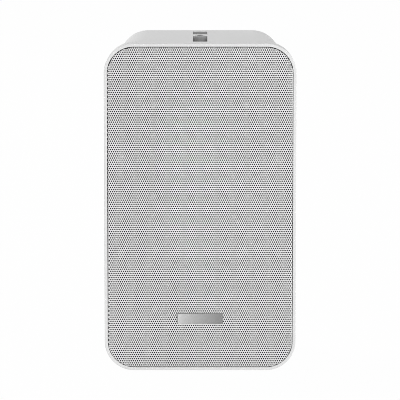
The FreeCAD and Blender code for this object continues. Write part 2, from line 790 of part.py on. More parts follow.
def basket():
    """A pressed steel dish: screw flange, sloping wall with windows, spider seat, base on the magnet."""
    mouth, seat, base = "(basket_mouth / 2)", "(spider_seat / 2)", "(basket_base / 2)"
    inner = "%s - basket_sheet" % mouth
    seat_depth = "(%s + spider_sheet)" % SPIDER_FRONT
    dish = turned("basket_dish", WOOFER_UP, [
        (FLANGE_FRONT, inner), (FLANGE_FRONT, "woofer_diameter / 2"),
        ("baffle_place", "woofer_diameter / 2"), ("baffle_place", mouth),
        (BAFFLE_BACK, mouth), (seat_depth + " + basket_sheet", seat + " + basket_sheet"),
        (seat_depth + " + basket_sheet", seat + " - spider_seat_width"),
        (PLATE_FRONT, base + " - basket_base_lip"), (PLATE_FRONT, GAP_RADIUS + " + basket_sheet"),
        (PLATE_FRONT + " - basket_sheet", GAP_RADIUS + " + basket_sheet"),
        (PLATE_FRONT + " - basket_sheet", base + " - basket_base_lip - basket_sheet"),
        (seat_depth, seat + " - spider_seat_width - basket_sheet"), (seat_depth, seat),
        (BAFFLE_BACK, inner)])
    window_front = "(%s + basket_sheet)" % BAFFLE_BACK
    window_length = "%s - basket_sheet - %s" % (seat_depth, window_front)
    spans = (("woofer_diameter", "basket_window"), ("basket_window", "woofer_diameter"))
    windows = [block("basket_window", width, window_length, height, "0", window_front, WOOFER_UP)
               for width, height in spans]
    holes = [rod("basket_hole", "screw_shank", "3 * basket_sheet", x, "%s - basket_sheet" % FLANGE_FRONT, z)
             for x, z in WOOFER_SCREWS]
    return keep("woofer_basket", cut("woofer_basket", dish, windows + holes))


def woofer_gasket():
    """The ring on the flange, notched round the screw heads."""
    front = "(%s - gasket_thickness)" % FLANGE_FRONT
    blank = ring("gasket_blank", WOOFER_UP, "basket_mouth", "basket_mouth + 2 * gasket_width", front,
                 "gasket_thickness")
    notches = [rod("gasket_notch", "small_screw_head + 2 * baffle_fit", "3 * gasket_thickness", x,
                   "%s - gasket_thickness" % front, z) for x, z in WOOFER_SCREWS]
    return keep("woofer_gasket", cut("woofer_gasket", blank, notches))


def woofer_tags():
    """The insulating strip behind the spider seat and its two solder tags."""
    back = "(%s + spider_sheet + basket_sheet)" % SPIDER_FRONT
    drop = "(%s - spider_seat / 2 - basket_sheet)" % WOOFER_UP
    keep("woofer_tag_strip", block("woofer_tag_strip", "tag_strip_width", "tag_strip_thickness",
                                   "tag_strip_height", "0", back, drop))
    tags = [block("woofer_tag", "tag_width", "tag_sheet", "tag_length", "%d * tag_spread" % side,
                  "%s + tag_strip_thickness" % back, "%s - tag_length / 4" % drop) for side in (-1, 1)]
    keep("woofer_tags", group("woofer_tags", tags))


def woofer_surround():
    """A half-roll of rubber between the basket flange and the cone."""
    land = "(%s - roll_sheet)" % FLANGE_FRONT
    rim, edge = "(basket_mouth / 2)", "(cone_diameter / 2)"
    outside = "((roll_width ^ 2 / 4 + roll_height ^ 2) / (2 * roll_height))"
    inner_height = "(roll_height - roll_sheet)"
    inner_width = "(roll_width - 2 * roll_sheet)"
    inside = "((%s ^ 2 / 4 + %s ^ 2) / (2 * %s))" % (inner_width, inner_height, inner_height)
    return keep("woofer_surround", turned("woofer_surround", WOOFER_UP, [
        (FLANGE_FRONT, rim), (land, rim, "-" + outside), (land, edge), (land, edge + " - 3 * roll_sheet"),
        (FLANGE_FRONT, edge + " - 3 * roll_sheet"), (FLANGE_FRONT, edge + " + roll_sheet"),
        (land, edge + " + roll_sheet", inside), (land, rim + " - roll_sheet"),
        (FLANGE_FRONT, rim + " - roll_sheet")]))


def woofer_cone():
    """A slightly curved paper cone from the surround down to the voice coil."""
    edge, neck = "(cone_diameter / 2)", COIL_RADIUS
    lip = edge + " - 2 * cone_sheet"
    return keep("woofer_cone", turned("woofer_cone", WOOFER_UP, [
        (FLANGE_FRONT, edge), (FLANGE_FRONT, lip, "cone_curve"), (CONE_BACK, neck),
        (CONE_BACK + " + cone_sheet", neck, "-cone_curve"), (FLANGE_FRONT + " + cone_sheet", lip),
        (FLANGE_FRONT + " + cone_sheet", edge)]))


def domed(seat, rim, rise, thickness):
    """The outline of a thin dome on its axis: its crown is in front of its seat."""
    outside = "((%s) ^ 2 + (%s) ^ 2) / (2 * (%s))" % (rim, rise, rise)
    inner_rim = "((%s) - (%s))" % (rim, thickness)
    inside = "(%s ^ 2 + (%s) ^ 2) / (2 * (%s))" % (inner_rim, rise, rise)
    crown = "((%s) - (%s))" % (seat, rise)
    back = "((%s) + (%s))" % (seat, thickness)
    hollow = "%s + (%s)" % (crown, thickness)
    return [(seat, rim, "-(%s)" % outside), (crown, "0"), (hollow, "0", inside), (back, inner_rim)]


def dust_cap():
    """The cap whose inner rim is glued down on the curved front of the cone."""
    rise = "(cone_depth + basket_sheet)"
    span = "(cone_diameter / 2 - 2 * cone_sheet - former_diameter / 2)"
    share = "((cap_diameter / 2 - cap_sheet - former_diameter / 2) / %s)" % span
    chord = "sqrt(%s ^ 2 + %s ^ 2)" % (rise, span)
    bulge = "%s ^ 3 * %s * (1 - %s) / (2 * cone_curve * %s)" % (chord, share, share, span)
    seat = "(%s - %s * %s + %s - cap_sheet - glue_line)" % (CONE_BACK, share, rise, bulge)
    profile = domed(seat, "cap_diameter / 2", "cap_rise", "cap_sheet")
    return keep("dust_cap", turned("dust_cap", WOOFER_UP, profile))


def voice_coil():
    start = "(%s + cone_sheet)" % CONE_BACK
    keep("voice_coil_former", ring("voice_coil_former", WOOFER_UP, "former_diameter - 2 * former_wall",
                                   "former_diameter", start, "former_length"))
    coil_start = "(%s + top_plate_thickness / 2 - coil_length / 2)" % PLATE_FRONT
    keep("voice_coil", ring("voice_coil", WOOFER_UP, "former_diameter", "former_diameter + 2 * coil_wall",
                            coil_start, "coil_length"))


def spider():
    """A corrugated cloth ring that centres the coil, with a flat land glued to the basket's seat."""
    outer = "(spider_seat / 2 - spider_seat_width - 2 * basket_sheet)"
    step = "((%s - %s) / %d)" % (outer, COIL_RADIUS, SPIDER_ROLLS)
    curve = "((%s ^ 2 + spider_wave ^ 2) / (4 * spider_wave))" % step
    back_face = "(%s + spider_sheet)" % SPIDER_FRONT
    front, back = [], []
    for index in range(SPIDER_ROLLS):
        radius = "%s + %s * %d" % (COIL_RADIUS, step, index)
        following = "%s + %s" % (radius, step)
        front.append((SPIDER_FRONT, radius, "%d * %s" % ((-1) ** index, curve)))
        back.append((back_face, following, "%d * %s" % (-(-1) ** index, curve)))
    land = "spider_seat / 2 - basket_sheet"
    profile = front + [(SPIDER_FRONT, outer), (SPIDER_FRONT, land), (back_face, land)]
    profile += back[::-1] + [(back_face, COIL_RADIUS)]
    return keep("woofer_spider", turned("woofer_spider", WOOFER_UP, profile))


def woofer_motor():
    keep("woofer_top_plate", ring("woofer_top_plate", WOOFER_UP, "2 * %s" % GAP_RADIUS, "top_plate_diameter",
                                  PLATE_FRONT, "top_plate_thickness"))
    keep("woofer_magnet", ring("woofer_magnet", WOOFER_UP, "magnet_bore", "magnet_diameter", PLATE_BACK,
                               "magnet_thickness"))
    pole_front = "(%s - basket_sheet)" % PLATE_FRONT
    yoke_back = "(%s + yoke_thickness)" % YOKE_FRONT
    keep("woofer_yoke", turned("woofer_yoke", WOOFER_UP, [
        (pole_front, "0"), (pole_front, POLE_RADIUS), (YOKE_FRONT, POLE_RADIUS),
        (YOKE_FRONT, "top_plate_diameter / 2"), (yoke_back, "top_plate_diameter / 2 - yoke_thickness / 2"),
        (yoke_back, "0")]))


# Tweeter, front to back

HORN_FRONT = "(baffle_place - horn_flange)"
NECK_FRONT = "(%s + horn_length)" % HORN_FRONT
NECK_BACK = "(%s + neck_length)" % NECK_FRONT
SUSPENSION_BACK = "(%s + suspension_sheet)" % NECK_BACK
TWEETER_PLATE_BACK = "(%s + tweeter_plate_thickness)" % SUSPENSION_BACK
TWEETER_YOKE_FRONT = "(%s + tweeter_magnet_thickness)" % TWEETER_PLATE_BACK
DOME_GAP_RADIUS = "(dome_diameter / 2 + dome_coil_wall + dome_gap)"
DOME_POLE_RADIUS = "(dome_diameter / 2 - dome_sheet - dome_gap)"


def horn_flare(name, grow):
    """The flare from a wide mouth to a round throat; grow thickens it all round."""
    mouth_w = "horn_width - 2 * horn_border - 2 * horn_wall + 2 * (%s)" % grow
    mouth_h = "horn_height - 2 * horn_border - 2 * horn_wall + 2 * (%s)" % grow
    throat = "throat_diameter + 2 * (%s)" % grow
    mid_w = "((%s) * flare_share_across + (%s) * (1 - flare_share_across))" % (mouth_w, throat)
    mid_h = "((%s) * flare_share_up + (%s) * (1 - flare_share_up))" % (mouth_h, throat)
    middle = "%s + horn_length / 2" % HORN_FRONT
    throat_corner = "(%s) * throat_round_share" % throat
    return loft(name, [
        section(name + "_mouth", HORN_FRONT, mouth_w, mouth_h, "horn_corner", TWEETER_UP),
        section(name + "_middle", middle, mid_w, mid_h, "throat_diameter / 2", TWEETER_UP),
        section(name + "_throat", NECK_BACK, throat, throat, throat_corner, TWEETER_UP)], ruled=False)


def horn():
    body = new_body("horn_flange_plate")
    sketch = face_sketch(body, HORN_FRONT)
    rounded_rectangle(sketch, "horn_width", "horn_height", "horn_corner", y=TWEETER_UP)
    pad(body, sketch, "horn_flange")
    neck = rod("horn_neck", "neck_diameter", "neck_length", "0", NECK_FRONT, TWEETER_UP)
    solid = fuse("horn_moulding", [body, horn_flare("horn_outside", "horn_wall"), neck])
    chamber = rod("horn_chamber", "2 * %s" % DOME_GAP_RADIUS, "chamber_depth + neck_length", "0",
                  "%s - chamber_depth" % NECK_BACK, TWEETER_UP)
    holes = [rod("horn_hole", "screw_shank", "3 * horn_flange", x, "%s - horn_flange" % HORN_FRONT, z)
             for x, z in HORN_SCREWS]
    return keep("tweeter_horn", cut("tweeter_horn", solid, [horn_flare("horn_inside", "0"), chamber] + holes))


def tweeter_dome():
    """The silk dome with its coil former in one pressing."""
    end = "(%s + tweeter_plate_thickness)" % SUSPENSION_BACK
    skirt = [(end, "dome_diameter / 2 - dome_sheet"), (end, "dome_diameter / 2")]
    cap = domed(NECK_BACK, "dome_diameter / 2", "dome_rise", "dome_sheet")
    keep("tweeter_dome", turned("tweeter_dome", TWEETER_UP, skirt + cap))
    coil_start = "(%s + tweeter_plate_thickness / 2 - dome_coil_length / 2)" % SUSPENSION_BACK
    coil_outer = "dome_diameter + 2 * dome_coil_wall"
    keep("tweeter_coil", ring("tweeter_coil", TWEETER_UP, "dome_diameter", coil_outer, coil_start,
                              "dome_coil_length"))


def tweeter_motor():
    outer = "dome_diameter + 2 * dome_coil_wall + 2 * suspension_width"
    keep("tweeter_suspension", ring("tweeter_suspension", TWEETER_UP, "dome_diameter", outer, NECK_BACK,
                                    "suspension_sheet"))
    keep("tweeter_top_plate", ring("tweeter_top_plate", TWEETER_UP, "2 * %s" % DOME_GAP_RADIUS,
                                   "neck_diameter", SUSPENSION_BACK, "tweeter_plate_thickness"))
    keep("tweeter_magnet", ring("tweeter_magnet", TWEETER_UP, "tweeter_magnet_bore", "neck_diameter",
                                TWEETER_PLATE_BACK, "tweeter_magnet_thickness"))
    pole_front = "(%s + suspension_sheet)" % SUSPENSION_BACK
    yoke_back = "(%s + tweeter_yoke_thickness)" % TWEETER_YOKE_FRONT
    keep("tweeter_yoke", turned("tweeter_yoke", TWEETER_UP, [
        (pole_front, "0"), (pole_front, DOME_POLE_RADIUS), (TWEETER_YOKE_FRONT, DOME_POLE_RADIUS),
        (TWEETER_YOKE_FRONT, "neck_diameter / 2"), (yoke_back, "neck_diameter / 2"), (yoke_back, "0")]))


# Terminals on the back

CUP_FLOOR = "(cabinet_depth - cup_sunk - cup_depth)"
PIN_DEPTH = "(%s + block_thickness + pin_stand)" % CUP_FLOOR
PIN_UP = "(cup_up + pin_up)"
LEVER_SPAN = "((block_width - 3 * ear_width) / 2)"
LEVER_ACROSS = "(ear_width / 2 + %s / 2)" % LEVER_SPAN


def terminal_cup():
    """A moulded tray let into the back: flange, side walls and floor."""
    inner_w, inner_h = "(cup_width - 2 * cup_border)", "(cup_height - 2 * cup_border)"
    body = new_body("cup_flange_plate")
    sketch = face_sketch(body, CUP_SEAT)
    rounded_rectangle(sketch, "cup_width", "cup_height", "cup_corner", y="cup_up")
    pad(body, sketch, "cup_flange")
    tub = block("cup_tub", inner_w, "cup_depth + cup_wall", inner_h, "0", "%s - cup_wall" % CUP_FLOOR,
                "cup_up")
    hollow = block("cup_hollow", inner_w + " - 2 * cup_wall", "2 * cup_depth", inner_h + " - 2 * cup_wall",
                   "0", CUP_FLOOR, "cup_up")
    holes = [rod("cup_hole", "screw_shank", "4 * cup_flange", x, "%s - cup_flange" % CUP_SEAT, z)
             for x, z in CUP_SCREWS]
    return keep("terminal_cup", cut("terminal_cup", fuse("cup_moulding", [body, tub]), [hollow] + holes))


def terminal_block():
    """The base that carries the levers: three ears for the pin and a wire hole under each lever."""
    base = block("block_base", "block_width", "block_thickness", "block_height", "0", CUP_FLOOR, "cup_up")
    reach = "(pin_stand + knuckle_diameter / 2)"
    ears = [block("block_ear", "ear_width", "block_thickness + " + reach, "ear_height",
                  "%d * (block_width - ear_width) / 2" % side, CUP_FLOOR, PIN_UP) for side in (-1, 0, 1)]
    bore = crossbar("block_bore", "pin_diameter", "2 * block_width", "0", PIN_DEPTH, PIN_UP)
    wires = [rod("wire_hole", "wire_hole", "4 * block_thickness", "%d * %s" % (side, LEVER_ACROSS),
                 "%s - block_thickness" % CUP_FLOOR, "cup_up - wire_hole_drop") for side in (-1, 1)]
    moulding = fuse("block_moulding", [base] + ears)
    return keep("terminal_block", cut("terminal_block", moulding, [bore] + wires))


def terminal_lever(label, side):
    """A finger lever that swings on the pin."""
    width = "(%s - 2 * lever_side_play)" % LEVER_SPAN
    across = "%d * %s" % (side, LEVER_ACROSS)
    knuckle = crossbar(label + "_knuckle", "knuckle_diameter", width, across, PIN_DEPTH, PIN_UP)
    arm = block(label + "_arm", width, "lever_thickness", "lever_length", across,
                "%s + knuckle_diameter / 2 - lever_thickness" % PIN_DEPTH, "%s - lever_length / 2" % PIN_UP)
    bore = crossbar(label + "_bore", "pin_diameter + 2 * pin_running", "2 * %s" % width, across, PIN_DEPTH,
                    PIN_UP)
    return keep(label, cut(label, fuse(label + "_moulding", [knuckle, arm]), [bore]))


def terminal_metal():
    keep("lever_pin", crossbar("lever_pin", "pin_diameter", "block_width", "0", PIN_DEPTH, PIN_UP))
    strips = []
    for side in (-1, 1):
        strips.append(block("contact_strip", "contact_width", "contact_sheet", "contact_length / 2",
                            "%d * %s" % (side, LEVER_ACROSS), "%s + block_thickness" % CUP_FLOOR,
                            "cup_up - wire_hole_drop + wire_hole / 2 + contact_length / 4"))
    keep("terminal_contacts", group("terminal_contacts", strips))


# Crossover inside the back

def crossover():
    board = block("board_blank", "board_width", "board_thickness", "board_height", "0", BOARD_FRONT,
                  "board_up")
    holes = [rod("board_drill", "small_screw_shank", "3 * board_thickness", x,
                 "%s - board_thickness" % BOARD_FRONT, z) for x, z in BOARD_HOLES]
    keep("crossover_board", cut("crossover_board", board, holes))
    front = "(%s - coil_former_height)" % BOARD_FRONT
    half, core = "(coil_former_diameter / 2)", "(coil_former_core / 2)"
    former = turned("inductor_former", "board_up", [
        (front, "coil_former_core / 4"), (front, half), (front + " + coil_former_cheek", half),
        (front + " + coil_former_cheek", core), (BOARD_FRONT + " - coil_former_cheek", core),
        (BOARD_FRONT + " - coil_former_cheek", half), (BOARD_FRONT, half),
        (BOARD_FRONT, "coil_former_core / 4")])
    bind(former, Placement__Base__x="coil_across")
    keep("inductor_former", former)
    winding = ring("inductor_winding", "board_up", "coil_former_core",
                   "coil_former_diameter - coil_former_cheek", front + " + coil_former_cheek",
                   "coil_former_height - 2 * coil_former_cheek")
    bind(winding, Placement__Base__x="coil_across")
    keep("inductor_winding", winding)
    depth = "(%s - capacitor_diameter / 2)" % BOARD_FRONT
    for label, side in (("woofer_capacitor", -1), ("tweeter_capacitor", 1)):
        keep(label, crossbar(label, "capacitor_diameter", "capacitor_length", "-capacitor_across", depth,
                             "board_up + %d * capacitor_spread" % side))
    keep("crossover_resistor", block("crossover_resistor", "resistor_length", "resistor_width",
                                     "resistor_width", "-capacitor_across",
                                     "%s - resistor_width" % BOARD_FRONT, "board_up + resistor_up"))


def wadding():
    body = new_body("wadding")
    sketch = face_sketch(body, "%s - wadding_thickness" % BACK_INSIDE)
    rounded_rectangle(sketch, "wadding_width", "wadding_height", "wadding_corner", y="wadding_up")
    pad(body, sketch, "wadding_thickness")
    return keep("acoustic_wadding", body)


# Fasteners

def screw(x, z, under_head, back=False, head="screw_head_diameter", shank="post_hole", length="screw_length"):
    """A pan-head screw with a cross recess; its head bears at a depth and its shank runs into the piece."""
    rise = "screw_head_height"
    if back:
        top = rod("screw_head", head, rise, x, under_head, z)
        stem = rod("screw_stem", shank, length, x, "(%s) - (%s)" % (under_head, length), z)
        recess = "(%s) + %s - screw_drive_depth" % (under_head, rise)
    else:
        top = rod("screw_head", head, rise, x, "(%s) - %s" % (under_head, rise), z)
        stem = rod("screw_stem", shank, length, x, under_head, z)
        recess = "(%s) - %s - screw_drive_depth" % (under_head, rise)
    slots = [block("screw_slot", "screw_drive", "2 * screw_drive_depth", "screw_drive_slot", x, recess, z),
             block("screw_slot", "screw_drive_slot", "2 * screw_drive_depth", "screw_drive", x, recess, z)]
    return cut("screw", fuse("screw_blank", [top, stem]), slots)


def fasteners():
    small = {"head": "small_screw_head", "shank": "small_screw_shank", "length": "small_screw_length"}
    sets = (("baffle_screws", BAFFLE_POSTS, BAFFLE_FRONT, {}),
            ("woofer_screws", WOOFER_SCREWS, FLANGE_FRONT, small),
            ("tweeter_screws", HORN_SCREWS, HORN_FRONT, small),
            ("cup_screws", CUP_SCREWS, CUP_FACE, dict(small, back=True)),
            ("board_screws", BOARD_HOLES, BOARD_FRONT, small))
    for label, places, seat, size in sets:
        keep(label, group(label, [screw(x, z, seat, **size) for x, z in places]))


cabinet()
insert("top_insert", 1)
insert("bottom_insert", -1)
baffle()
baffle_seal()
grille()
name_plate()
basket()
woofer_gasket()
woofer_tags()
woofer_surround()
woofer_cone()
dust_cap()
voice_coil()
spider()
woofer_motor()
horn()
tweeter_dome()
tweeter_motor()
terminal_cup()
terminal_block()
terminal_lever("red_lever", -1)
terminal_lever("black_lever", 1)
terminal_metal()
crossover()
wadding()
fasteners()
doc.recompute()

# Every object has to be sound before any file is written
for thing in doc.Objects:
    if "Invalid" in thing.State or "Error" in thing.State:
        raise RuntimeError("%s failed to build: %s" % (thing.Label, thing.State))
for piece in subparts:
    if piece.Shape.isNull() or not piece.Shape.isValid() or not piece.Shape.Solids:
        raise RuntimeError("%s has no sound solid" % piece.Label)

os.makedirs("parts", exist_ok=True)
for piece in subparts:
    piece.Shape.exportStep(os.path.join("parts", piece.Label + ".step"))
    print("%-20s solids %2d volume %10.1f" % (piece.Label, len(piece.Shape.Solids), piece.Shape.Volume))
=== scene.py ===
"""Dresses the loudspeaker's frame as in its photograph.

The perforated grille, the plate on it, the wadding inside and the rings between the housing and the
diaphragms are modelled here. Every other piece is a solid of the frame with a material of its own. Metres; +Z
is up and the grille faces -Y.
"""
import math

import bmesh
import bpy
import numpy as np
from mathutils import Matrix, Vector, noise


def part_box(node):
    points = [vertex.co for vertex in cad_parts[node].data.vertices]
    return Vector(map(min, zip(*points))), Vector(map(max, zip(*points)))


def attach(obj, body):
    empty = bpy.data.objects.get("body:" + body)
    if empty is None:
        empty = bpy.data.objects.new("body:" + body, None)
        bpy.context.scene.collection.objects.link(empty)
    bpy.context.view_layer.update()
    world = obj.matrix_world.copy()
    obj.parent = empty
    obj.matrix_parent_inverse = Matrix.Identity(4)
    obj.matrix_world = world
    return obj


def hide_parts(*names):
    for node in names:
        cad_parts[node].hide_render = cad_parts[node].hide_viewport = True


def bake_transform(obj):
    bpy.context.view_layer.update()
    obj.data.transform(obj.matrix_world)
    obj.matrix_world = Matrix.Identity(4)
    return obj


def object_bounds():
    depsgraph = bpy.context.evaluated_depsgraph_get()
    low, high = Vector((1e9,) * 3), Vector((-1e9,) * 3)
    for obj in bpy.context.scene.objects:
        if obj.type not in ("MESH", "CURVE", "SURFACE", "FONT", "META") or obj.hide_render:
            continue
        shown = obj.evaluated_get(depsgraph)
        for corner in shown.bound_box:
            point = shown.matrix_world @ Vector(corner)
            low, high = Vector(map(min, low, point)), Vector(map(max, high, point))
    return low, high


MM = 0.001

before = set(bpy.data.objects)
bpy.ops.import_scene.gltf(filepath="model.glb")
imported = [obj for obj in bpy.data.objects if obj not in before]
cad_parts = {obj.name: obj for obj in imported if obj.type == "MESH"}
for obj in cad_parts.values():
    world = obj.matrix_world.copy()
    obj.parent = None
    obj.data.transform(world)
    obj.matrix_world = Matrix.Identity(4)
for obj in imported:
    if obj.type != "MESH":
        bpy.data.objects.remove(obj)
cad_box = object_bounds()

# Holes of the grille; a cell's corners are shares of half the pitch
HOLE_PITCH = 2.0 * MM
HOLE_DIAMETER = 1.43 * MM
HOLE_SIDES = 6
HOLE_TURN = 2 * math.pi / HOLE_SIDES
HOLE_REACH = HOLE_DIAMETER / 2 * math.sqrt(HOLE_TURN / math.sin(HOLE_TURN))
HOLE_NEAR_MIDDLE = (-0.094 * MM, -0.270 * MM)
CELL_SIDE = 0.75
CELL_TIP = 1.25
CELL_WELD = 0.02 * MM
CELL_MATCH = 0.001 * MM

# Sheet of the grille, and where it differs from the frame's tray
GRILLE_SHEET = 0.8 * MM
GRILLE_FORWARD = 0.8 * MM
GRILLE_WIDER = 0.12 * MM
GRILLE_LOWER = (0.18 * MM, 0.28 * MM)
GRILLE_BEND = 0.9 * MM
GRILLE_CORNER = 24.2 * MM
GRILLE_BANDS = 3
FOLD_ANGLE = math.radians(75)
FOLD_SPARE = 0.2
EDGE_START = 0.8 * GRILLE_BEND
EDGE_INSET = 0.05 * MM
EDGE_STEPS = 12
SIDE_TAPER = math.radians(1.44)
TOP_TAPER = math.radians(1.86)

# Plate, how much larger it is than the frame's solid, its painted edge shadow and its painted reflection
PLATE_WIDER = 1.05 * MM
PLATE_HIGHER = 0.65 * MM
PLATE_CORNER = 0.8 * MM
PLATE_EDGE = 0.25 * MM
PLATE_SOFT_EDGE = 0.3 * PLATE_EDGE
PLATE_STEPS = 6
# Painted shadow along the plate's left and upper edges: its width and grey
PLATE_SHADOW_WIDTH = 0.45 * MM
PLATE_SHADOW_GREY = 0.345
# Painted reflection across the plate: light at its left end, dark at its right, and how it falls off
PLATE_REFLECTION_LIGHT = 0.91
PLATE_REFLECTION_DARK = 0.31
PLATE_REFLECTION_FALL = 0.55

# Painted shade on the cabinet: grey deep in the bracket sockets, near black on the inner walls and the rim's
# inner wall
SOCKET_SHADE_START = 2.0 * MM
SOCKET_REACH = 8.0 * MM
SOCKET_HALF = 7.0 * MM
SOCKET_FROM_BACK = 12.0 * MM
SOCKET_SHADE_GREY = 0.46
INSIDE_SHADE_GREY = 0.05
INSIDE_DEPTHS = (12.0 * MM, 122.0 * MM)
INSIDE_FROM_TOP = 32.0 * MM
INSIDE_FROM_MIDDLE = 12.0 * MM
BODY_HALF = 88.9 * MM
BODY_TAPER = math.tan(math.radians(5.79))
WALL_MIDDLE = 1.4 * MM
RIM_CORNER = 27.8 * MM
RIM_DEPTHS = (1.4 * MM, 12.0 * MM)

# Wadding
WADDING_CUTS = 22
WADDING_SQUARENESS = 6.0
WADDING_LUMPS = 0.10
LUMP_STRETCH = Vector((3.0, 1.0, 2.0))
LUMP_SOFTNESS = 0.8
LUMP_STEP = 2.0
LUMP_OCTAVES = 5

# Flexible rings: node, material and slot, moving body, radius it holds, radius the housing holds, sectors
FLEXIBLE_RINGS = (
    ("woofer_surround", "surround_rubber", "cone_assembly", 46.8 * MM, 57.0 * MM, 16),
    ("woofer_spider", "spider_cloth", "cone_assembly", 13.7 * MM, 33.4 * MM, 8),
    ("tweeter_suspension", "dome_silk", "tweeter_diaphragm", 13.2 * MM, 22.0 * MM, 8),
)
RING_WELD = 0.001 * MM
RING_CREASE = math.radians(35)

# Every finish: the span of an effect's tone that moves its colour and its gloss
COLOUR_SPAN = (0.3, 0.7)
GLOSS_SPAN = (0.25, 0.75)
GLOSS_RANGE = 0.12
BUMP_STRENGTH = 0.35

# Studio; the soft lights have a name, place, width, height and power
FLOOR_SIZE = 30.0
FLOOR_PLACE = (0.0, 5.0, -0.0002)
FLOOR_GREY = 0.90
FLOOR_WHITE = 0.98
SKY_LEVEL = 0.47
SOFTBOXES = (
    ("key_light", (1.4, -1.7, 0.2), 1.2, 0.35, 23.0),
    ("fill_light", (-1.6, -2.6, 0.2), 1.2, 0.35, 9.0),
    ("back_light", (-1.9, 1.3, 1.9), 1.4, 1.4, 31.0),
)
LIGHT_AIM = Vector((0.0, 0.0, 0.15))
PIXEL_FILTER = 0.9

# The photograph's camera
CAMERA_TILT = math.radians(9.84)
CAMERA_DISTANCE = 3.892
CAMERA_LENS = 373.2
CAMERA_SENSOR = 36.0
CAMERA_FAR = 100.0
FRAME_PIXELS = 400
FACE_CENTRE_PIXEL = (200.11, 208.08)


# Node helpers

def feed(tree, socket, value):
    """Links an output to a socket, or sets the socket to a plain value."""
    if isinstance(value, bpy.types.NodeSocket):
        tree.links.new(value, socket)
    else:
        socket.default_value = value


def add_node(tree, kind, settings=None, **inputs):
    """A node with its settings, and its inputs fed by socket name (underscores for spaces)."""
    node = tree.nodes.new(kind)
    for name, value in (settings or {}).items():
        setattr(node, name, value)
    for name, value in inputs.items():
        feed(tree, node.inputs[name.replace("_", " ")], value)
    return node


def operation_node(tree, kind, operation, values):
    """A node set to an operation, with its inputs fed in their order."""
    node = add_node(tree, kind, {"operation": operation})
    for socket, value in zip(node.inputs, values):
        feed(tree, socket, value)
    return node


def math_node(tree, operation, *values):
    """The result of a Math node on sockets or numbers."""
    return operation_node(tree, "ShaderNodeMath", operation, values).outputs[0]


def vector_node(tree, operation, *values):
    """The vector that a Vector Math node makes from sockets or tuples."""
    return operation_node(tree, "ShaderNodeVectorMath", operation, values).outputs["Vector"]


def vector_length(tree, vector):
    """The length of a vector."""
    return operation_node(tree, "ShaderNodeVectorMath", "LENGTH", [vector]).outputs["Value"]


def vector_parts(tree, vector):
    """A vector's X, Y and Z."""
    return add_node(tree, "ShaderNodeSeparateXYZ", Vector=vector).outputs


def vector_from(tree, **parts):
    """A vector from its X, Y and Z."""
    return add_node(tree, "ShaderNodeCombineXYZ", **parts).outputs[0]


def object_place(tree):
    """The Object coordinates of the spot that is shaded."""
    return add_node(tree, "ShaderNodeTexCoord").outputs["Object"]


def mix_colour(tree, factor, first, second, blend="MIX"):
    """A colour between two others, or another blend of the two."""
    node = add_node(tree, "ShaderNodeMix", {"data_type": "RGBA", "blend_type": blend})
    sockets = [socket for socket in node.inputs if socket.enabled]
    for socket, value in zip(sockets, (factor, first, second)):
        feed(tree, socket, value)
    return next(socket for socket in node.outputs if socket.enabled)


def grey(level):
    return (level, level, level, 1.0)


def rgb(red, green, blue):
    return (red, green, blue, 1.0)


# Shared surface effects, as shader node groups

def effect_group(name, **inputs):
    """A group with the given float inputs, and the outputs Height and Tone; its tree and its inputs."""
    tree = bpy.data.node_groups.new(name, "ShaderNodeTree")
    for label, value in inputs.items():
        socket = tree.interface.new_socket(label, in_out="INPUT", socket_type="NodeSocketFloat")
        socket.default_value = value
    for label in ("Height", "Tone"):
        tree.interface.new_socket(label, in_out="OUTPUT", socket_type="NodeSocketFloat")
    return tree, tree.nodes.new("NodeGroupInput").outputs


def give_out(tree, height, tone):
    """Ends an effect's group."""
    add_node(tree, "NodeGroupOutput", Height=height, Tone=tone)
    return tree


def patches(tree, place, scale, detail, **more):
    """Soft random patches from 0 to 1."""
    node = add_node(tree, "ShaderNodeTexNoise", Vector=place, Scale=scale, Detail=detail, **more)
    return node.outputs["Fac"]


def moulded_grain():
    """Spark-eroded mould texture: fine pebbles for the height, slow clouds for the tone."""
    tree, given = effect_group("moulded_grain", Scale=1400.0, Clouds=18.0)
    place = object_place(tree)
    pebbles = add_node(tree, "ShaderNodeTexVoronoi", {"feature": "SMOOTH_F1"}, Vector=place,
                       Scale=given["Scale"], Smoothness=0.6)
    fine = patches(tree, place, given["Scale"], 3.0)
    clouds = patches(tree, place, given["Clouds"], 4.0, Roughness=0.6)
    return give_out(tree, math_node(tree, "ADD", pebbles.outputs["Distance"], fine), clouds)


def brushed_lines():
    """Fine lines along X, as on brushed or drawn metal."""
    tree, given = effect_group("brushed_lines", Scale=2600.0, Stretch=0.02)
    place = object_place(tree)
    squeeze = vector_from(tree, X=given["Stretch"], Y=1.0, Z=1.0)
    fine = patches(tree, vector_node(tree, "MULTIPLY", place, squeeze), given["Scale"], 2.0)
    return give_out(tree, fine, patches(tree, place, 60.0, 3.0))


def turned_rings():
    """Rings about an axis along Y at a height: windings, lathe marks and the ribs of a cone."""
    tree, given = effect_group("turned_rings", Axis=0.0, Rings=2000.0, Along=0.0)
    place = object_place(tree)
    parts = vector_parts(tree, place)
    up = math_node(tree, "SUBTRACT", parts["Z"], given["Axis"])
    radius = vector_length(tree, vector_from(tree, X=parts["X"], Y=up, Z=0.0))
    along = math_node(tree, "MULTIPLY", parts["Y"], given["Along"])
    path = math_node(tree, "ADD", radius, along)
    wave = math_node(tree, "SINE", math_node(tree, "MULTIPLY", path, given["Rings"]))
    return give_out(tree, wave, patches(tree, place, 90.0, 4.0))


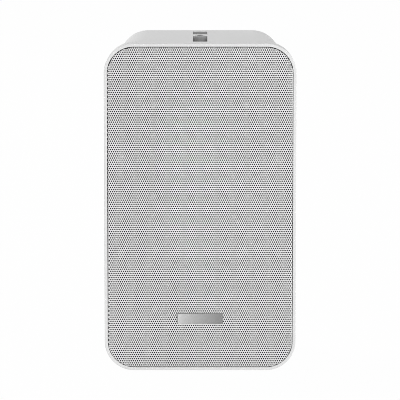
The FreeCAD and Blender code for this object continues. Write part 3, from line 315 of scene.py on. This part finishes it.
def woven_threads():
    """Two crossing sets of threads, with slow clouds for the varnish."""
    tree, given = effect_group("woven_threads", Threads=5000.0)
    place = object_place(tree)
    parts = vector_parts(tree, place)
    warp = math_node(tree, "SINE", math_node(tree, "MULTIPLY", parts["X"], given["Threads"]))
    weft = math_node(tree, "SINE", math_node(tree, "MULTIPLY", parts["Z"], given["Threads"]))
    return give_out(tree, math_node(tree, "MULTIPLY", warp, weft), patches(tree, place, 70.0, 3.0))


GRAIN = moulded_grain()
BRUSHED = brushed_lines()
RINGS = turned_rings()
WEAVE = woven_threads()


# Materials

MATERIALS = {}


def surface(name, effect, light, dark, roughness, depth, metallic=0.0, sheen=0.0, **settings):
    """A material whose colour and gloss drift with an effect's tone, and whose bump is its height."""
    material = bpy.data.materials.new(name)
    material.use_nodes = True
    tree = material.node_tree
    shader = tree.nodes["Principled BSDF"].inputs
    group = add_node(tree, "ShaderNodeGroup", {"node_tree": effect}, **settings)
    tone = group.outputs["Tone"]
    share = add_node(tree, "ShaderNodeMapRange", Value=tone, From_Min=COLOUR_SPAN[0], From_Max=COLOUR_SPAN[1])
    feed(tree, shader["Base Color"], mix_colour(tree, share.outputs["Result"], dark, light))
    gloss = add_node(tree, "ShaderNodeMapRange", Value=tone, From_Min=GLOSS_SPAN[0], From_Max=GLOSS_SPAN[1],
                     To_Min=roughness - GLOSS_RANGE / 2, To_Max=roughness + GLOSS_RANGE / 2)
    feed(tree, shader["Roughness"], gloss.outputs["Result"])
    feed(tree, shader["Metallic"], metallic)
    feed(tree, shader["Sheen Weight"], sheen)
    bump = add_node(tree, "ShaderNodeBump", Height=group.outputs["Height"], Distance=depth,
                    Strength=BUMP_STRENGTH)
    feed(tree, shader["Normal"], bump.outputs["Normal"])
    MATERIALS[name] = material
    return material


def plate_box():
    """The box of the plate as it shows: on the sheet's face, and a little larger than the frame's solid."""
    low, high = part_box("name_plate")
    low += Vector((-PLATE_WIDER, -GRILLE_FORWARD, 0.0))
    high += Vector((PLATE_WIDER, 0.0, PLATE_HIGHER))
    return low, high


def painted_edge_shadow(tree, parts, low, high):
    """1 along the plate's left and upper edges, where a shadow is painted, 0 elsewhere."""
    left = math_node(tree, "LESS_THAN", parts["X"], low.x + PLATE_SHADOW_WIDTH)
    above = math_node(tree, "GREATER_THAN", parts["Z"], high.z - PLATE_SHADOW_WIDTH)
    return math_node(tree, "MAXIMUM", left, above)


def badge_metal_painted_light():
    """Satin metal with a painted reflection from light to dark across the plate, and a painted shadow along
    its left and upper edges.
    """
    tree = surface("badge_metal_painted_light", BRUSHED, grey(0.80), grey(0.74), 0.42, 0.02 * MM).node_tree
    colour = tree.nodes["Principled BSDF"].inputs["Base Color"]
    brushed = colour.links[0].from_socket
    low, high = plate_box()
    parts = vector_parts(tree, object_place(tree))
    # Painted reflection, light to dark from the plate's left end to its right
    share = add_node(tree, "ShaderNodeMapRange", Value=parts["X"], From_Min=low.x, From_Max=high.x)
    reflection_fall = math_node(tree, "POWER", share.outputs["Result"], PLATE_REFLECTION_FALL)
    painted_light = mix_colour(tree, reflection_fall, grey(PLATE_REFLECTION_LIGHT), grey(PLATE_REFLECTION_DARK))
    # Painted shadow along the plate's left and upper edges
    painted_light = mix_colour(tree, painted_edge_shadow(tree, parts, low, high), painted_light, grey(PLATE_SHADOW_GREY))
    feed(tree, colour, mix_colour(tree, 1.0, brushed, painted_light, "MULTIPLY"))


def recess_shade(tree, place):
    """0 on the cabinet's outer faces, rising to 1 deep in the two bracket sockets, where grey shade is
    painted.
    """
    low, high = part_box("cabinet")
    middle, half = (low.z + high.z) / 2, (high.z - low.z) / 2
    parts = vector_parts(tree, place)
    off_middle = math_node(tree, "ABSOLUTE", math_node(tree, "SUBTRACT", parts["Z"], middle))
    sunk = math_node(tree, "SUBTRACT", half - SOCKET_SHADE_START, off_middle)
    depth = add_node(tree, "ShaderNodeMapRange", {"interpolation_type": "SMOOTHSTEP"}, Value=sunk,
                     From_Min=0.0, From_Max=SOCKET_REACH).outputs["Result"]
    near = math_node(tree, "LESS_THAN", math_node(tree, "ABSOLUTE", parts["X"]), SOCKET_HALF)
    ahead = math_node(tree, "LESS_THAN", parts["Y"], high.y - SOCKET_FROM_BACK)
    return math_node(tree, "MULTIPLY", depth, math_node(tree, "MULTIPLY", near, ahead))


def all_true(tree, *tests):
    """1 where every comparison (operation, value, limit) holds."""
    result = math_node(tree, *tests[0])
    for test in tests[1:]:
        result = math_node(tree, "MULTIPLY", result, math_node(tree, *test))
    return result


def painted_inside_shade(tree, place):
    """1 on the cabinet's inner side and back walls and on the rim's inner wall, where near-black shade is
    painted, 0 elsewhere.
    """
    low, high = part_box("cabinet")
    half = (high - low) / 2
    parts = vector_parts(tree, place)
    depth = math_node(tree, "SUBTRACT", parts["Y"], low.y)
    across = math_node(tree, "ABSOLUTE", parts["X"])
    off_middle = math_node(tree, "ABSOLUTE", math_node(tree, "SUBTRACT", parts["Z"], low.z + half.z))
    side = math_node(tree, "MULTIPLY_ADD", depth, -BODY_TAPER, BODY_HALF - WALL_MIDDLE)
    walls = all_true(tree, ("LESS_THAN", across, side), ("GREATER_THAN", across, INSIDE_FROM_MIDDLE),
                     ("GREATER_THAN", depth, INSIDE_DEPTHS[0]), ("LESS_THAN", depth, INSIDE_DEPTHS[1]),
                     ("LESS_THAN", off_middle, half.z - INSIDE_FROM_TOP))
    past_x = math_node(tree, "MAXIMUM", math_node(tree, "SUBTRACT", across, half.x - RIM_CORNER), 0.0)
    past_z = math_node(tree, "MAXIMUM", math_node(tree, "SUBTRACT", off_middle, half.z - RIM_CORNER), 0.0)
    reach = vector_length(tree, vector_from(tree, X=past_x, Y=past_z))
    rim = all_true(tree, ("LESS_THAN", reach, RIM_CORNER - WALL_MIDDLE),
                   ("GREATER_THAN", depth, RIM_DEPTHS[0]), ("LESS_THAN", depth, RIM_DEPTHS[1]))
    return math_node(tree, "MAXIMUM", walls, rim)


def cabinet_with_painted_shade():
    """White plastic with painted shade: grey deep in the sockets, near black on the inner walls and the rim's
    inner wall.
    """
    tree = surface("cabinet_plastic", GRAIN, grey(0.785), grey(0.765), 0.48, 0.03 * MM).node_tree
    colour = tree.nodes["Principled BSDF"].inputs["Base Color"]
    coat_and_painted_shade = colour.links[0].from_socket
    place = object_place(tree)
    # Painted shade, grey deep in the bracket sockets
    coat_and_painted_shade = mix_colour(tree, recess_shade(tree, place), coat_and_painted_shade, grey(SOCKET_SHADE_GREY))
    # Painted shade, near black on the inner walls and the rim's inner wall
    feed(tree, colour, mix_colour(tree, painted_inside_shade(tree, place), coat_and_painted_shade, grey(INSIDE_SHADE_GREY)))


WOOFER_AXIS = sum(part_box("woofer_basket"), Vector()).z / 2

# Outside
cabinet_with_painted_shade()
badge_metal_painted_light()
surface("grille_coat", GRAIN, grey(0.83), grey(0.80), 0.42, 0.02 * MM, Scale=2200.0)
# Near-black painted shade for the tray's folded edge, which shows only in the gap round the grille
surface("grille_edge_painted_shade", GRAIN, grey(0.060), grey(0.040), 0.55, 0.02 * MM, Scale=2200.0)
surface("nickel", BRUSHED, grey(0.50), grey(0.40), 0.40, 0.02 * MM, metallic=1.0)

# Baffle and drivers
surface("baffle_plastic", GRAIN, grey(0.075), grey(0.055), 0.55, 0.05 * MM)
surface("seal_foam", GRAIN, grey(0.040), grey(0.020), 0.85, 0.2 * MM, Scale=700.0)
surface("basket_paint", GRAIN, grey(0.050), grey(0.035), 0.45, 0.02 * MM, Scale=1800.0)
surface("surround_rubber", GRAIN, grey(0.035), grey(0.022), 0.62, 0.03 * MM, sheen=0.2, Clouds=60.0)
surface("cone_paper", GRAIN, grey(0.085), grey(0.050), 0.80, 0.12 * MM, Scale=600.0, Clouds=120.0)
surface("spider_cloth", WEAVE, rgb(0.62, 0.42, 0.17), rgb(0.48, 0.30, 0.11), 0.70, 0.15 * MM, sheen=0.2)
surface("dome_silk", WEAVE, grey(0.06), grey(0.03), 0.60, 0.05 * MM, sheen=0.3, Threads=9000.0)
surface("former_foil", BRUSHED, grey(0.78), grey(0.66), 0.30, 0.01 * MM, metallic=1.0)
surface("copper_wire", RINGS, rgb(0.72, 0.30, 0.13), rgb(0.55, 0.20, 0.08), 0.35, 0.15 * MM, metallic=1.0,
        Axis=WOOFER_AXIS, Rings=9000.0, Along=1.0)
surface("zinc_steel", RINGS, grey(0.40), grey(0.31), 0.40, 0.02 * MM, metallic=1.0,
        Axis=WOOFER_AXIS, Rings=6000.0)
surface("ferrite", GRAIN, grey(0.060), grey(0.035), 0.58, 0.08 * MM, Scale=900.0)

# Terminals, crossover and wadding
surface("brass", RINGS, rgb(0.72, 0.50, 0.20), rgb(0.60, 0.40, 0.15), 0.32, 0.02 * MM, metallic=1.0)
surface("terminal_plastic", GRAIN, grey(0.035), grey(0.025), 0.46, 0.04 * MM)
surface("lever_red", GRAIN, rgb(0.48, 0.018, 0.014), rgb(0.40, 0.012, 0.010), 0.34, 0.015 * MM)
surface("lever_black", GRAIN, grey(0.022), grey(0.015), 0.34, 0.015 * MM)
surface("laminate", WEAVE, rgb(0.30, 0.16, 0.05), rgb(0.22, 0.11, 0.03), 0.50, 0.03 * MM, Threads=3500.0)
surface("former_plastic", GRAIN, grey(0.040), grey(0.028), 0.50, 0.04 * MM)
surface("capacitor_film", BRUSHED, rgb(0.52, 0.36, 0.05), rgb(0.44, 0.29, 0.03), 0.28, 0.02 * MM)
surface("cement", GRAIN, rgb(0.66, 0.64, 0.58), rgb(0.54, 0.52, 0.46), 0.82, 0.2 * MM, Scale=500.0)
surface("wadding_fibre", GRAIN, grey(0.070), grey(0.035), 0.95, 0.6 * MM, sheen=0.1,
        Scale=260.0, Clouds=90.0)

NODE_MATERIALS = {
    "cabinet_plastic": ["cabinet"],
    "nickel": ["top_insert", "bottom_insert"],
    "brass": ["woofer_tags", "terminal_contacts"],
    "baffle_plastic": ["front_baffle", "tweeter_horn"],
    "seal_foam": ["baffle_seal", "woofer_gasket"],
    "basket_paint": ["woofer_basket"],
    "cone_paper": ["woofer_cone", "dust_cap"],
    "dome_silk": ["tweeter_dome"],
    "former_foil": ["voice_coil_former"],
    "copper_wire": ["voice_coil", "tweeter_coil", "inductor_winding"],
    "zinc_steel": ["woofer_top_plate", "woofer_yoke", "tweeter_top_plate", "tweeter_yoke", "lever_pin",
                   "baffle_screws", "woofer_screws", "tweeter_screws", "cup_screws", "board_screws"],
    "ferrite": ["woofer_magnet", "tweeter_magnet"],
    "terminal_plastic": ["terminal_cup", "terminal_block"],
    "lever_red": ["red_lever"],
    "lever_black": ["black_lever"],
    "laminate": ["crossover_board", "woofer_tag_strip"],
    "former_plastic": ["inductor_former"],
    "capacitor_film": ["woofer_capacitor", "tweeter_capacitor"],
    "cement": ["crossover_resistor"],
}


def dress(thing, material):
    thing.data.materials.clear()
    thing.data.materials.append(MATERIALS[material])


def dress_frame():
    """Gives every solid of the frame that stays in view its material."""
    for material, nodes in NODE_MATERIALS.items():
        for node in nodes:
            dress(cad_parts[node], material)


# Pieces

def mesh_from(shape, name):
    """A mesh from a bmesh, which is freed."""
    mesh = bpy.data.meshes.new(name)
    shape.to_mesh(mesh)
    shape.free()
    return mesh


def smooth(mesh):
    """Shades every face of a mesh smooth."""
    mesh.polygons.foreach_set("use_smooth", [True] * len(mesh.polygons))


def add_object(name, mesh, material):
    """An object in the scene with its material."""
    thing = bpy.data.objects.new(name, mesh)
    bpy.context.scene.collection.objects.link(thing)
    dress(thing, material)
    return thing


def new_piece(name, mesh, material, slot, *nodes):
    """An object that rides on the housing in place of the frame's own solids."""
    thing = add_object(name, mesh, material)
    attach(thing, "housing")
    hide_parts(*nodes)
    return thing


def rounded_ring(half_x, half_z, corner, steps):
    """Points round a rounded rectangle, anticlockwise as seen from the front."""
    points = []
    for turn, (side_x, side_z) in enumerate(((1, 1), (-1, 1), (-1, -1), (1, -1))):
        for step in range(steps + 1):
            angle = math.radians(90 * turn + 90 * step / steps)
            points.append((side_x * (half_x - corner) + corner * math.cos(angle),
                           side_z * (half_z - corner) + corner * math.sin(angle)))
    return points


def join_loops(shape, near, far):
    """Faces between two closed loops of as many points."""
    for here in range(len(near)):
        there = (here + 1) % len(near)
        shape.faces.new((near[here], near[there], far[there], far[here]))


# Grille: a punched sheet whose border is bent back over the tray's edge

def hole_tile():
    """One hole with the sheet round it out to the middle of the webs, front and back, as a mesh object."""
    half = HOLE_PITCH / 2
    side, tip = CELL_SIDE * half, CELL_TIP * half
    cell = [(half, side), (0.0, tip), (-half, side), (-half, -side), (0.0, -tip), (half, -side)]
    tile = bmesh.new()
    layers = []
    for depth in (0.0, GRILLE_SHEET):
        web = [tile.verts.new((x, y, depth)) for x, y in cell]
        hole = []
        for x, y in cell:
            reach = HOLE_REACH / math.hypot(x, y)
            hole.append(tile.verts.new((x * reach, y * reach, depth)))
        layers.append((web, hole))
    (web, hole), (web_back, hole_back) = layers
    for here in range(HOLE_SIDES):
        there = (here + 1) % HOLE_SIDES
        tile.faces.new((web[here], hole[here], hole[there], web[there]))
        tile.faces.new((web_back[there], hole_back[there], hole_back[here], web_back[here]))
        tile.faces.new((hole[here], hole_back[here], hole_back[there], hole[there]))
    return bpy.data.objects.new("hole_tile", mesh_from(tile, "hole_tile"))


def perforation_tree():
    """Geometry nodes that lay tiles on a staggered grid, within reach of a rounded rectangle."""
    tree = bpy.data.node_groups.new("perforated_sheet", "GeometryNodeTree")
    kinds = {"Tile": "Object", "Columns": "Int", "Rows": "Int", "Pitch": "Float", "Start": "Vector",
             "Straight Half": "Vector", "Reach": "Float", "Material": "Material"}
    for label, kind in kinds.items():
        tree.interface.new_socket(label, in_out="INPUT", socket_type="NodeSocket" + kind)
    tree.interface.new_socket("Geometry", in_out="OUTPUT", socket_type="NodeSocketGeometry")
    given = tree.nodes.new("NodeGroupInput").outputs
    pitch = given["Pitch"]
    span_x = math_node(tree, "MULTIPLY", math_node(tree, "SUBTRACT", given["Columns"], 1.0), pitch)
    span_y = math_node(tree, "MULTIPLY", math_node(tree, "SUBTRACT", given["Rows"], 1.0), pitch)
    grid = add_node(tree, "GeometryNodeMeshGrid", Size_X=span_x, Size_Y=span_y, Vertices_X=given["Columns"],
                    Vertices_Y=given["Rows"])
    corner = vector_from(tree, X=math_node(tree, "MULTIPLY", span_x, 0.5),
                         Y=math_node(tree, "MULTIPLY", span_y, 0.5))
    place = tree.nodes.new("GeometryNodeInputPosition").outputs[0]
    from_start = vector_node(tree, "ADD", place, corner)
    row = math_node(tree, "ROUND", math_node(tree, "DIVIDE", vector_parts(tree, from_start)["Y"], pitch))
    odd = math_node(tree, "MODULO", row, 2.0)
    stagger = math_node(tree, "MULTIPLY", math_node(tree, "MULTIPLY", odd, pitch), 0.5)
    moved = vector_node(tree, "ADD", vector_node(tree, "ADD", from_start, given["Start"]),
                        vector_from(tree, X=stagger))
    laid = add_node(tree, "GeometryNodeSetPosition", Geometry=grid.outputs["Mesh"], Position=moved)
    off_middle = vector_node(tree, "ABSOLUTE", place)
    beyond = vector_node(tree, "SUBTRACT", off_middle, given["Straight Half"])
    distance = vector_length(tree, vector_node(tree, "MAXIMUM", beyond, (0.0, 0.0, 0.0)))
    outside = add_node(tree, "FunctionNodeCompare", {"data_type": "FLOAT", "operation": "GREATER_THAN"},
                       A=distance, B=given["Reach"])
    kept = add_node(tree, "GeometryNodeDeleteGeometry", {"domain": "POINT"}, Geometry=laid.outputs[0],
                    Selection=outside.outputs[0])
    tile = add_node(tree, "GeometryNodeObjectInfo", Object=given["Tile"])
    copies = add_node(tree, "GeometryNodeInstanceOnPoints", Points=kept.outputs[0],
                      Instance=tile.outputs["Geometry"])
    solid = add_node(tree, "GeometryNodeRealizeInstances", Geometry=copies.outputs[0])
    welded = add_node(tree, "GeometryNodeMergeByDistance", Geometry=solid.outputs[0], Distance=CELL_WELD)
    coated = add_node(tree, "GeometryNodeSetMaterial", Geometry=welded.outputs[0], Material=given["Material"])
    add_node(tree, "NodeGroupOutput", Geometry=coated.outputs[0])
    return tree


def run_nodes(tree, values):
    """The mesh that a geometry node tree makes from its inputs."""
    holder = bpy.data.objects.new("holder", bpy.data.meshes.new("holder"))
    bpy.context.scene.collection.objects.link(holder)
    modifier = holder.modifiers.new("nodes", "NODES")
    modifier.node_group = tree
    for item in tree.interface.items_tree:
        if item.in_out == "INPUT":
            modifier[item.identifier] = values[item.name]
    graph = bpy.context.evaluated_depsgraph_get()
    mesh = bpy.data.meshes.new_from_object(holder.evaluated_get(graph), depsgraph=graph)
    bpy.data.objects.remove(holder)
    return mesh


def cell_key(vert, layer):
    """Where a corner of the flat sheet lies, in fine steps, and on which of its two faces."""
    return round(vert.co.x / CELL_MATCH), round(vert.co.y / CELL_MATCH), layer


def close_cut_edges(mesh):
    """Walls between the front and the back of the sheet wherever it ends; the holes already have theirs."""
    sheet = bmesh.new()
    sheet.from_mesh(mesh)
    corners = {cell_key(vert, vert.co.z >= GRILLE_SHEET / 2): vert for vert in sheet.verts}
    border = [edge for edge in sheet.edges if edge.is_boundary]
    for edge in border:
        ends = edge.link_loops[0].vert, edge.link_loops[0].link_loop_next.vert
        if ends[0].co.z > GRILLE_SHEET / 2:
            continue
        back = [corners[cell_key(vert, True)] for vert in ends]
        sheet.faces.new((ends[1], ends[0], back[0], back[1]))
    bmesh.ops.recalc_face_normals(sheet, faces=sheet.faces)
    sheet.to_mesh(mesh)
    sheet.free()


def fold_border(mesh, straight_half, flat_corner, front, middle):
    """Stands the flat sheet up and bends what lies beyond its flat part back over the tray's edge."""
    flat = np.empty(len(mesh.vertices) * 3)
    mesh.vertices.foreach_get("co", flat)
    flat = flat.reshape(-1, 3)
    place, depth = flat[:, :2], flat[:, 2]
    core = np.clip(place, -straight_half, straight_half)
    arm = place - core
    reach = np.linalg.norm(arm, axis=1)
    past = np.maximum(reach - flat_corner, 0.0)
    away = arm / np.maximum(reach, 1e-9)[:, None]
    angle = np.minimum(past / GRILLE_BEND, FOLD_ANGLE + FOLD_SPARE)
    inner = np.minimum(reach, flat_corner)
    out = inner + np.where(past > 0, (GRILLE_BEND - depth) * np.sin(angle), 0.0)
    sunk = np.where(past > 0, GRILLE_BEND - (GRILLE_BEND - depth) * np.cos(angle), depth)
    spot = core + away * out[:, None]
    stood = np.column_stack((spot[:, 0], front + sunk, middle + spot[:, 1]))
    mesh.vertices.foreach_set("co", stood.ravel())
    mesh.update()
    turned = bmesh.new()
    turned.from_mesh(mesh)
    bmesh.ops.recalc_face_normals(turned, faces=turned.faces)
    turned.to_mesh(mesh)
    turned.free()


def grille_edge(low, high):
    """The tray's plain folded edge, from just inside the bend to the baffle, in near-black painted shade."""
    half_x, half_z = high.x, (high.z - low.z) / 2
    middle = (high.z + low.z) / 2
    start = low.y + EDGE_START
    edge = bmesh.new()
    loops = []
    for depth, thick in ((start, 0.0), (high.y, 0.0), (high.y, GRILLE_SHEET), (start, GRILLE_SHEET)):
        run = max(depth - low.y - GRILLE_BEND, 0.0)
        shrink_x = run * math.tan(SIDE_TAPER) + EDGE_INSET + thick
        shrink_z = run * math.tan(TOP_TAPER) + EDGE_INSET + thick
        ring = rounded_ring(half_x - shrink_x, half_z - shrink_z, GRILLE_CORNER - thick, EDGE_STEPS)
        loops.append([edge.verts.new((x, depth, middle + z)) for x, z in ring])
    for near, far in zip(loops, loops[1:] + loops[:1]):
        join_loops(edge, near, far)
    bmesh.ops.recalc_face_normals(edge, faces=edge.faces)
    new_piece("grille_edge", mesh_from(edge, "grille_edge"), "grille_edge_painted_shade", "grille_steel", "grille")


def grille():
    """The punched sheet in bands, and the tray's plain edge behind it."""
    low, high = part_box("grille")
    low.y -= GRILLE_FORWARD
    low.x -= GRILLE_WIDER
    high.x += GRILLE_WIDER
    low.z -= GRILLE_LOWER[0]
    high.z -= GRILLE_LOWER[1]
    half = Vector((high.x, (high.z - low.z) / 2))
    middle = (high.z + low.z) / 2
    straight = np.array([half.x - GRILLE_CORNER, half.y - GRILLE_CORNER])
    flat_corner = GRILLE_CORNER - GRILLE_BEND
    reach = flat_corner + GRILLE_BEND * FOLD_ANGLE
    tile = hole_tile()
    tree = perforation_tree()
    columns_left = math.ceil((straight[0] + reach) / HOLE_PITCH) + 1
    rows_below = 2 * math.ceil((straight[1] + reach) / HOLE_PITCH / 2) + 2
    band_rows = 2 * math.ceil(rows_below / GRILLE_BANDS)
    start_x = HOLE_NEAR_MIDDLE[0] - columns_left * HOLE_PITCH
    start_y = HOLE_NEAR_MIDDLE[1] - rows_below * HOLE_PITCH
    for band in range(GRILLE_BANDS):
        mesh = run_nodes(tree, {
            "Tile": tile, "Columns": 2 * columns_left + 1, "Rows": band_rows, "Pitch": HOLE_PITCH,
            "Start": (start_x, start_y + band * band_rows * HOLE_PITCH, 0.0),
            "Straight Half": (straight[0], straight[1], 0.0), "Reach": reach,
            "Material": MATERIALS["grille_coat"]})
        close_cut_edges(mesh)
        fold_border(mesh, straight, flat_corner, low.y, middle)
        new_piece("grille_sheet_%d" % (band + 1), mesh, "grille_coat", "grille_steel", "grille")
    bpy.data.objects.remove(tile)
    grille_edge(low, high)


# Plate and wadding

def name_plate():
    """The bare plate with softened edges."""
    low, high = plate_box()
    half_x, half_z = high.x, (high.z - low.z) / 2
    middle = (high.z + low.z) / 2
    plate = bmesh.new()
    loops = []
    for depth, inset in ((high.y, 0.0), (low.y + PLATE_EDGE, 0.0), (low.y + PLATE_SOFT_EDGE, PLATE_SOFT_EDGE),
                         (low.y, PLATE_EDGE)):
        ring = rounded_ring(half_x - inset, half_z - inset, PLATE_CORNER - inset, PLATE_STEPS)
        loops.append([plate.verts.new((x, depth, middle + z)) for x, z in ring])
    for near, far in zip(loops, loops[1:]):
        join_loops(plate, near, far)
    plate.faces.new(loops[0])
    plate.faces.new(loops[-1])
    bmesh.ops.recalc_face_normals(plate, faces=plate.faces)
    new_piece("bare_plate", mesh_from(plate, "bare_plate"), "badge_metal_painted_light", "plate_metal", "name_plate")


def wadding():
    """A soft batt of fibre in place of the plain block, with rounded edges and uneven lumps."""
    low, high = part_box("acoustic_wadding")
    middle, half = (low + high) / 2, (high - low) / 2
    batt = bmesh.new()
    bmesh.ops.create_cube(batt, size=2.0)
    bmesh.ops.subdivide_edges(batt, edges=batt.edges, cuts=WADDING_CUTS, use_grid_fill=True)
    for vert in batt.verts:
        size = sum(abs(part) ** WADDING_SQUARENESS for part in vert.co) ** (1.0 / WADDING_SQUARENESS)
        spot = vert.co / size
        lump = noise.fractal(spot * LUMP_STRETCH, LUMP_SOFTNESS, LUMP_STEP, LUMP_OCTAVES)
        spot *= 1.0 - WADDING_LUMPS * (0.5 + 0.5 * max(-1.0, min(1.0, lump)))
        vert.co = middle + spot * half
    mesh = mesh_from(batt, "wadding_batt")
    smooth(mesh)
    thing = new_piece("wadding_batt", mesh, "wadding_fibre", "wadding_fibre", "acoustic_wadding")


# Rings between the housing and the diaphragms, cut into sectors

def ring_sector(ring, axis, turn, half):
    """The part of a ring within an angle to either side of a direction from its axis, closed at both cuts."""
    sector = ring.copy()
    for side in (-1, 1):
        angle = turn + side * half
        beyond = side * Vector((-math.sin(angle), 0.0, math.cos(angle)))
        parts = sector.verts[:] + sector.edges[:] + sector.faces[:]
        cut = bmesh.ops.bisect_plane(sector, geom=parts, plane_co=axis, plane_no=beyond, clear_outer=True)
        edges = [part for part in cut["geom_cut"] if isinstance(part, bmesh.types.BMEdge)]
        bmesh.ops.edgenet_fill(sector, edges=edges)
    return sector


def flexible_ring(node, material, body, inner, outer, sectors):
    """A ring cut into sectors, each a smooth-shaded object of its own in place of the frame's solid."""
    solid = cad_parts[node]
    low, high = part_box(node)
    axis = (low + high) / 2
    ring = bmesh.new()
    ring.from_mesh(solid.data)
    ring.transform(solid.matrix_world)
    bmesh.ops.remove_doubles(ring, verts=ring.verts, dist=RING_WELD)
    half = math.pi / sectors
    for number in range(sectors):
        turn = 2 * half * number
        name = "%s_%02d" % (node, number + 1)
        mesh = mesh_from(ring_sector(ring, axis, turn, half), name)
        smooth(mesh)
        mesh.set_sharp_from_angle(angle=RING_CREASE)
        thing = add_object(name, mesh, material)
        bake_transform(thing)
        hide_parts(node)
    ring.free()


# Studio

def light_share(tree):
    """1 for rays that show the background itself, 0 for rays that carry light to the object."""
    path = tree.nodes.new("ShaderNodeLightPath").outputs
    seen = math_node(tree, "MAXIMUM", path["Is Camera Ray"], path["Is Glossy Ray"])
    return math_node(tree, "MAXIMUM", seen, path["Is Transmission Ray"])


def end_tree(tree, kind, share, first, second):
    """Ends a tree with two shaders and the second one's share."""
    mix = add_node(tree, "ShaderNodeMixShader")
    for socket, value in zip(mix.inputs, (share, first.outputs[0], second.outputs[0])):
        feed(tree, socket, value)
    add_node(tree, kind, Surface=mix.outputs[0])


def white_floor():
    """A pale floor that shows white and keeps a soft shadow."""
    bpy.ops.mesh.primitive_plane_add(size=FLOOR_SIZE, location=FLOOR_PLACE)
    floor = bpy.context.object
    floor.name = "studio_floor"
    material = bpy.data.materials.new("studio_floor")
    material.use_nodes = True
    tree = material.node_tree
    tree.nodes.clear()
    paper = add_node(tree, "ShaderNodeBsdfDiffuse", Color=grey(FLOOR_GREY))
    white = add_node(tree, "ShaderNodeEmission", Color=grey(1.0), Strength=1.0)
    share = math_node(tree, "MULTIPLY", light_share(tree), FLOOR_WHITE)
    end_tree(tree, "ShaderNodeOutputMaterial", share, paper, white)
    floor.data.materials.append(material)


def white_world():
    """A grey sky for the light, which shows white itself."""
    world = bpy.data.worlds.new("studio_world")
    bpy.context.scene.world = world
    world.use_nodes = True
    tree = world.node_tree
    tree.nodes.clear()
    light = add_node(tree, "ShaderNodeBackground", Color=grey(1.0), Strength=SKY_LEVEL)
    white = add_node(tree, "ShaderNodeBackground", Color=grey(1.0), Strength=1.0)
    end_tree(tree, "ShaderNodeOutputWorld", light_share(tree), light, white)


def softbox(name, place, width, height, power):
    """A soft light aimed at the middle of the loudspeaker."""
    lamp = bpy.data.lights.new(name, "AREA")
    lamp.shape = "RECTANGLE"
    lamp.size = width
    lamp.size_y = height
    lamp.energy = power
    thing = bpy.data.objects.new(name, lamp)
    bpy.context.scene.collection.objects.link(thing)
    thing.location = place
    aim = LIGHT_AIM - Vector(place)
    thing.rotation_euler = aim.to_track_quat("-Z", "Y").to_euler()


def camera():
    """The photograph's long lens, a little above the loudspeaker."""
    low, high = cad_box
    face = Vector((0.0, low.y, (low.z + high.z) / 2))
    lens = bpy.data.cameras.new("photo_camera")
    lens.lens = CAMERA_LENS
    lens.sensor_width = CAMERA_SENSOR
    lens.clip_end = CAMERA_FAR
    lens.shift_x = (FRAME_PIXELS / 2 - FACE_CENTRE_PIXEL[0]) / FRAME_PIXELS
    lens.shift_y = (FACE_CENTRE_PIXEL[1] - FRAME_PIXELS / 2) / FRAME_PIXELS
    thing = bpy.data.objects.new("photo_camera", lens)
    bpy.context.scene.collection.objects.link(thing)
    away = Vector((0.0, -math.cos(CAMERA_TILT), math.sin(CAMERA_TILT)))
    thing.location = face + CAMERA_DISTANCE * away
    thing.rotation_euler = (-away).to_track_quat("-Z", "Y").to_euler()
    bpy.context.scene.camera = thing


def studio():
    """Background, lights, camera and a pixel filter narrow enough for the holes."""
    white_world()
    white_floor()
    for light in SOFTBOXES:
        softbox(*light)
    camera()
    scene = bpy.context.scene
    scene.view_settings.view_transform = "Standard"
    scene.cycles.pixel_filter_type = "BLACKMAN_HARRIS"
    scene.cycles.filter_width = PIXEL_FILTER
    scene.cycles.denoising_prefilter = "NONE"


dress_frame()
grille()
name_plate()
wadding()
for ring in FLEXIBLE_RINGS:
    flexible_ring(*ring)
studio()
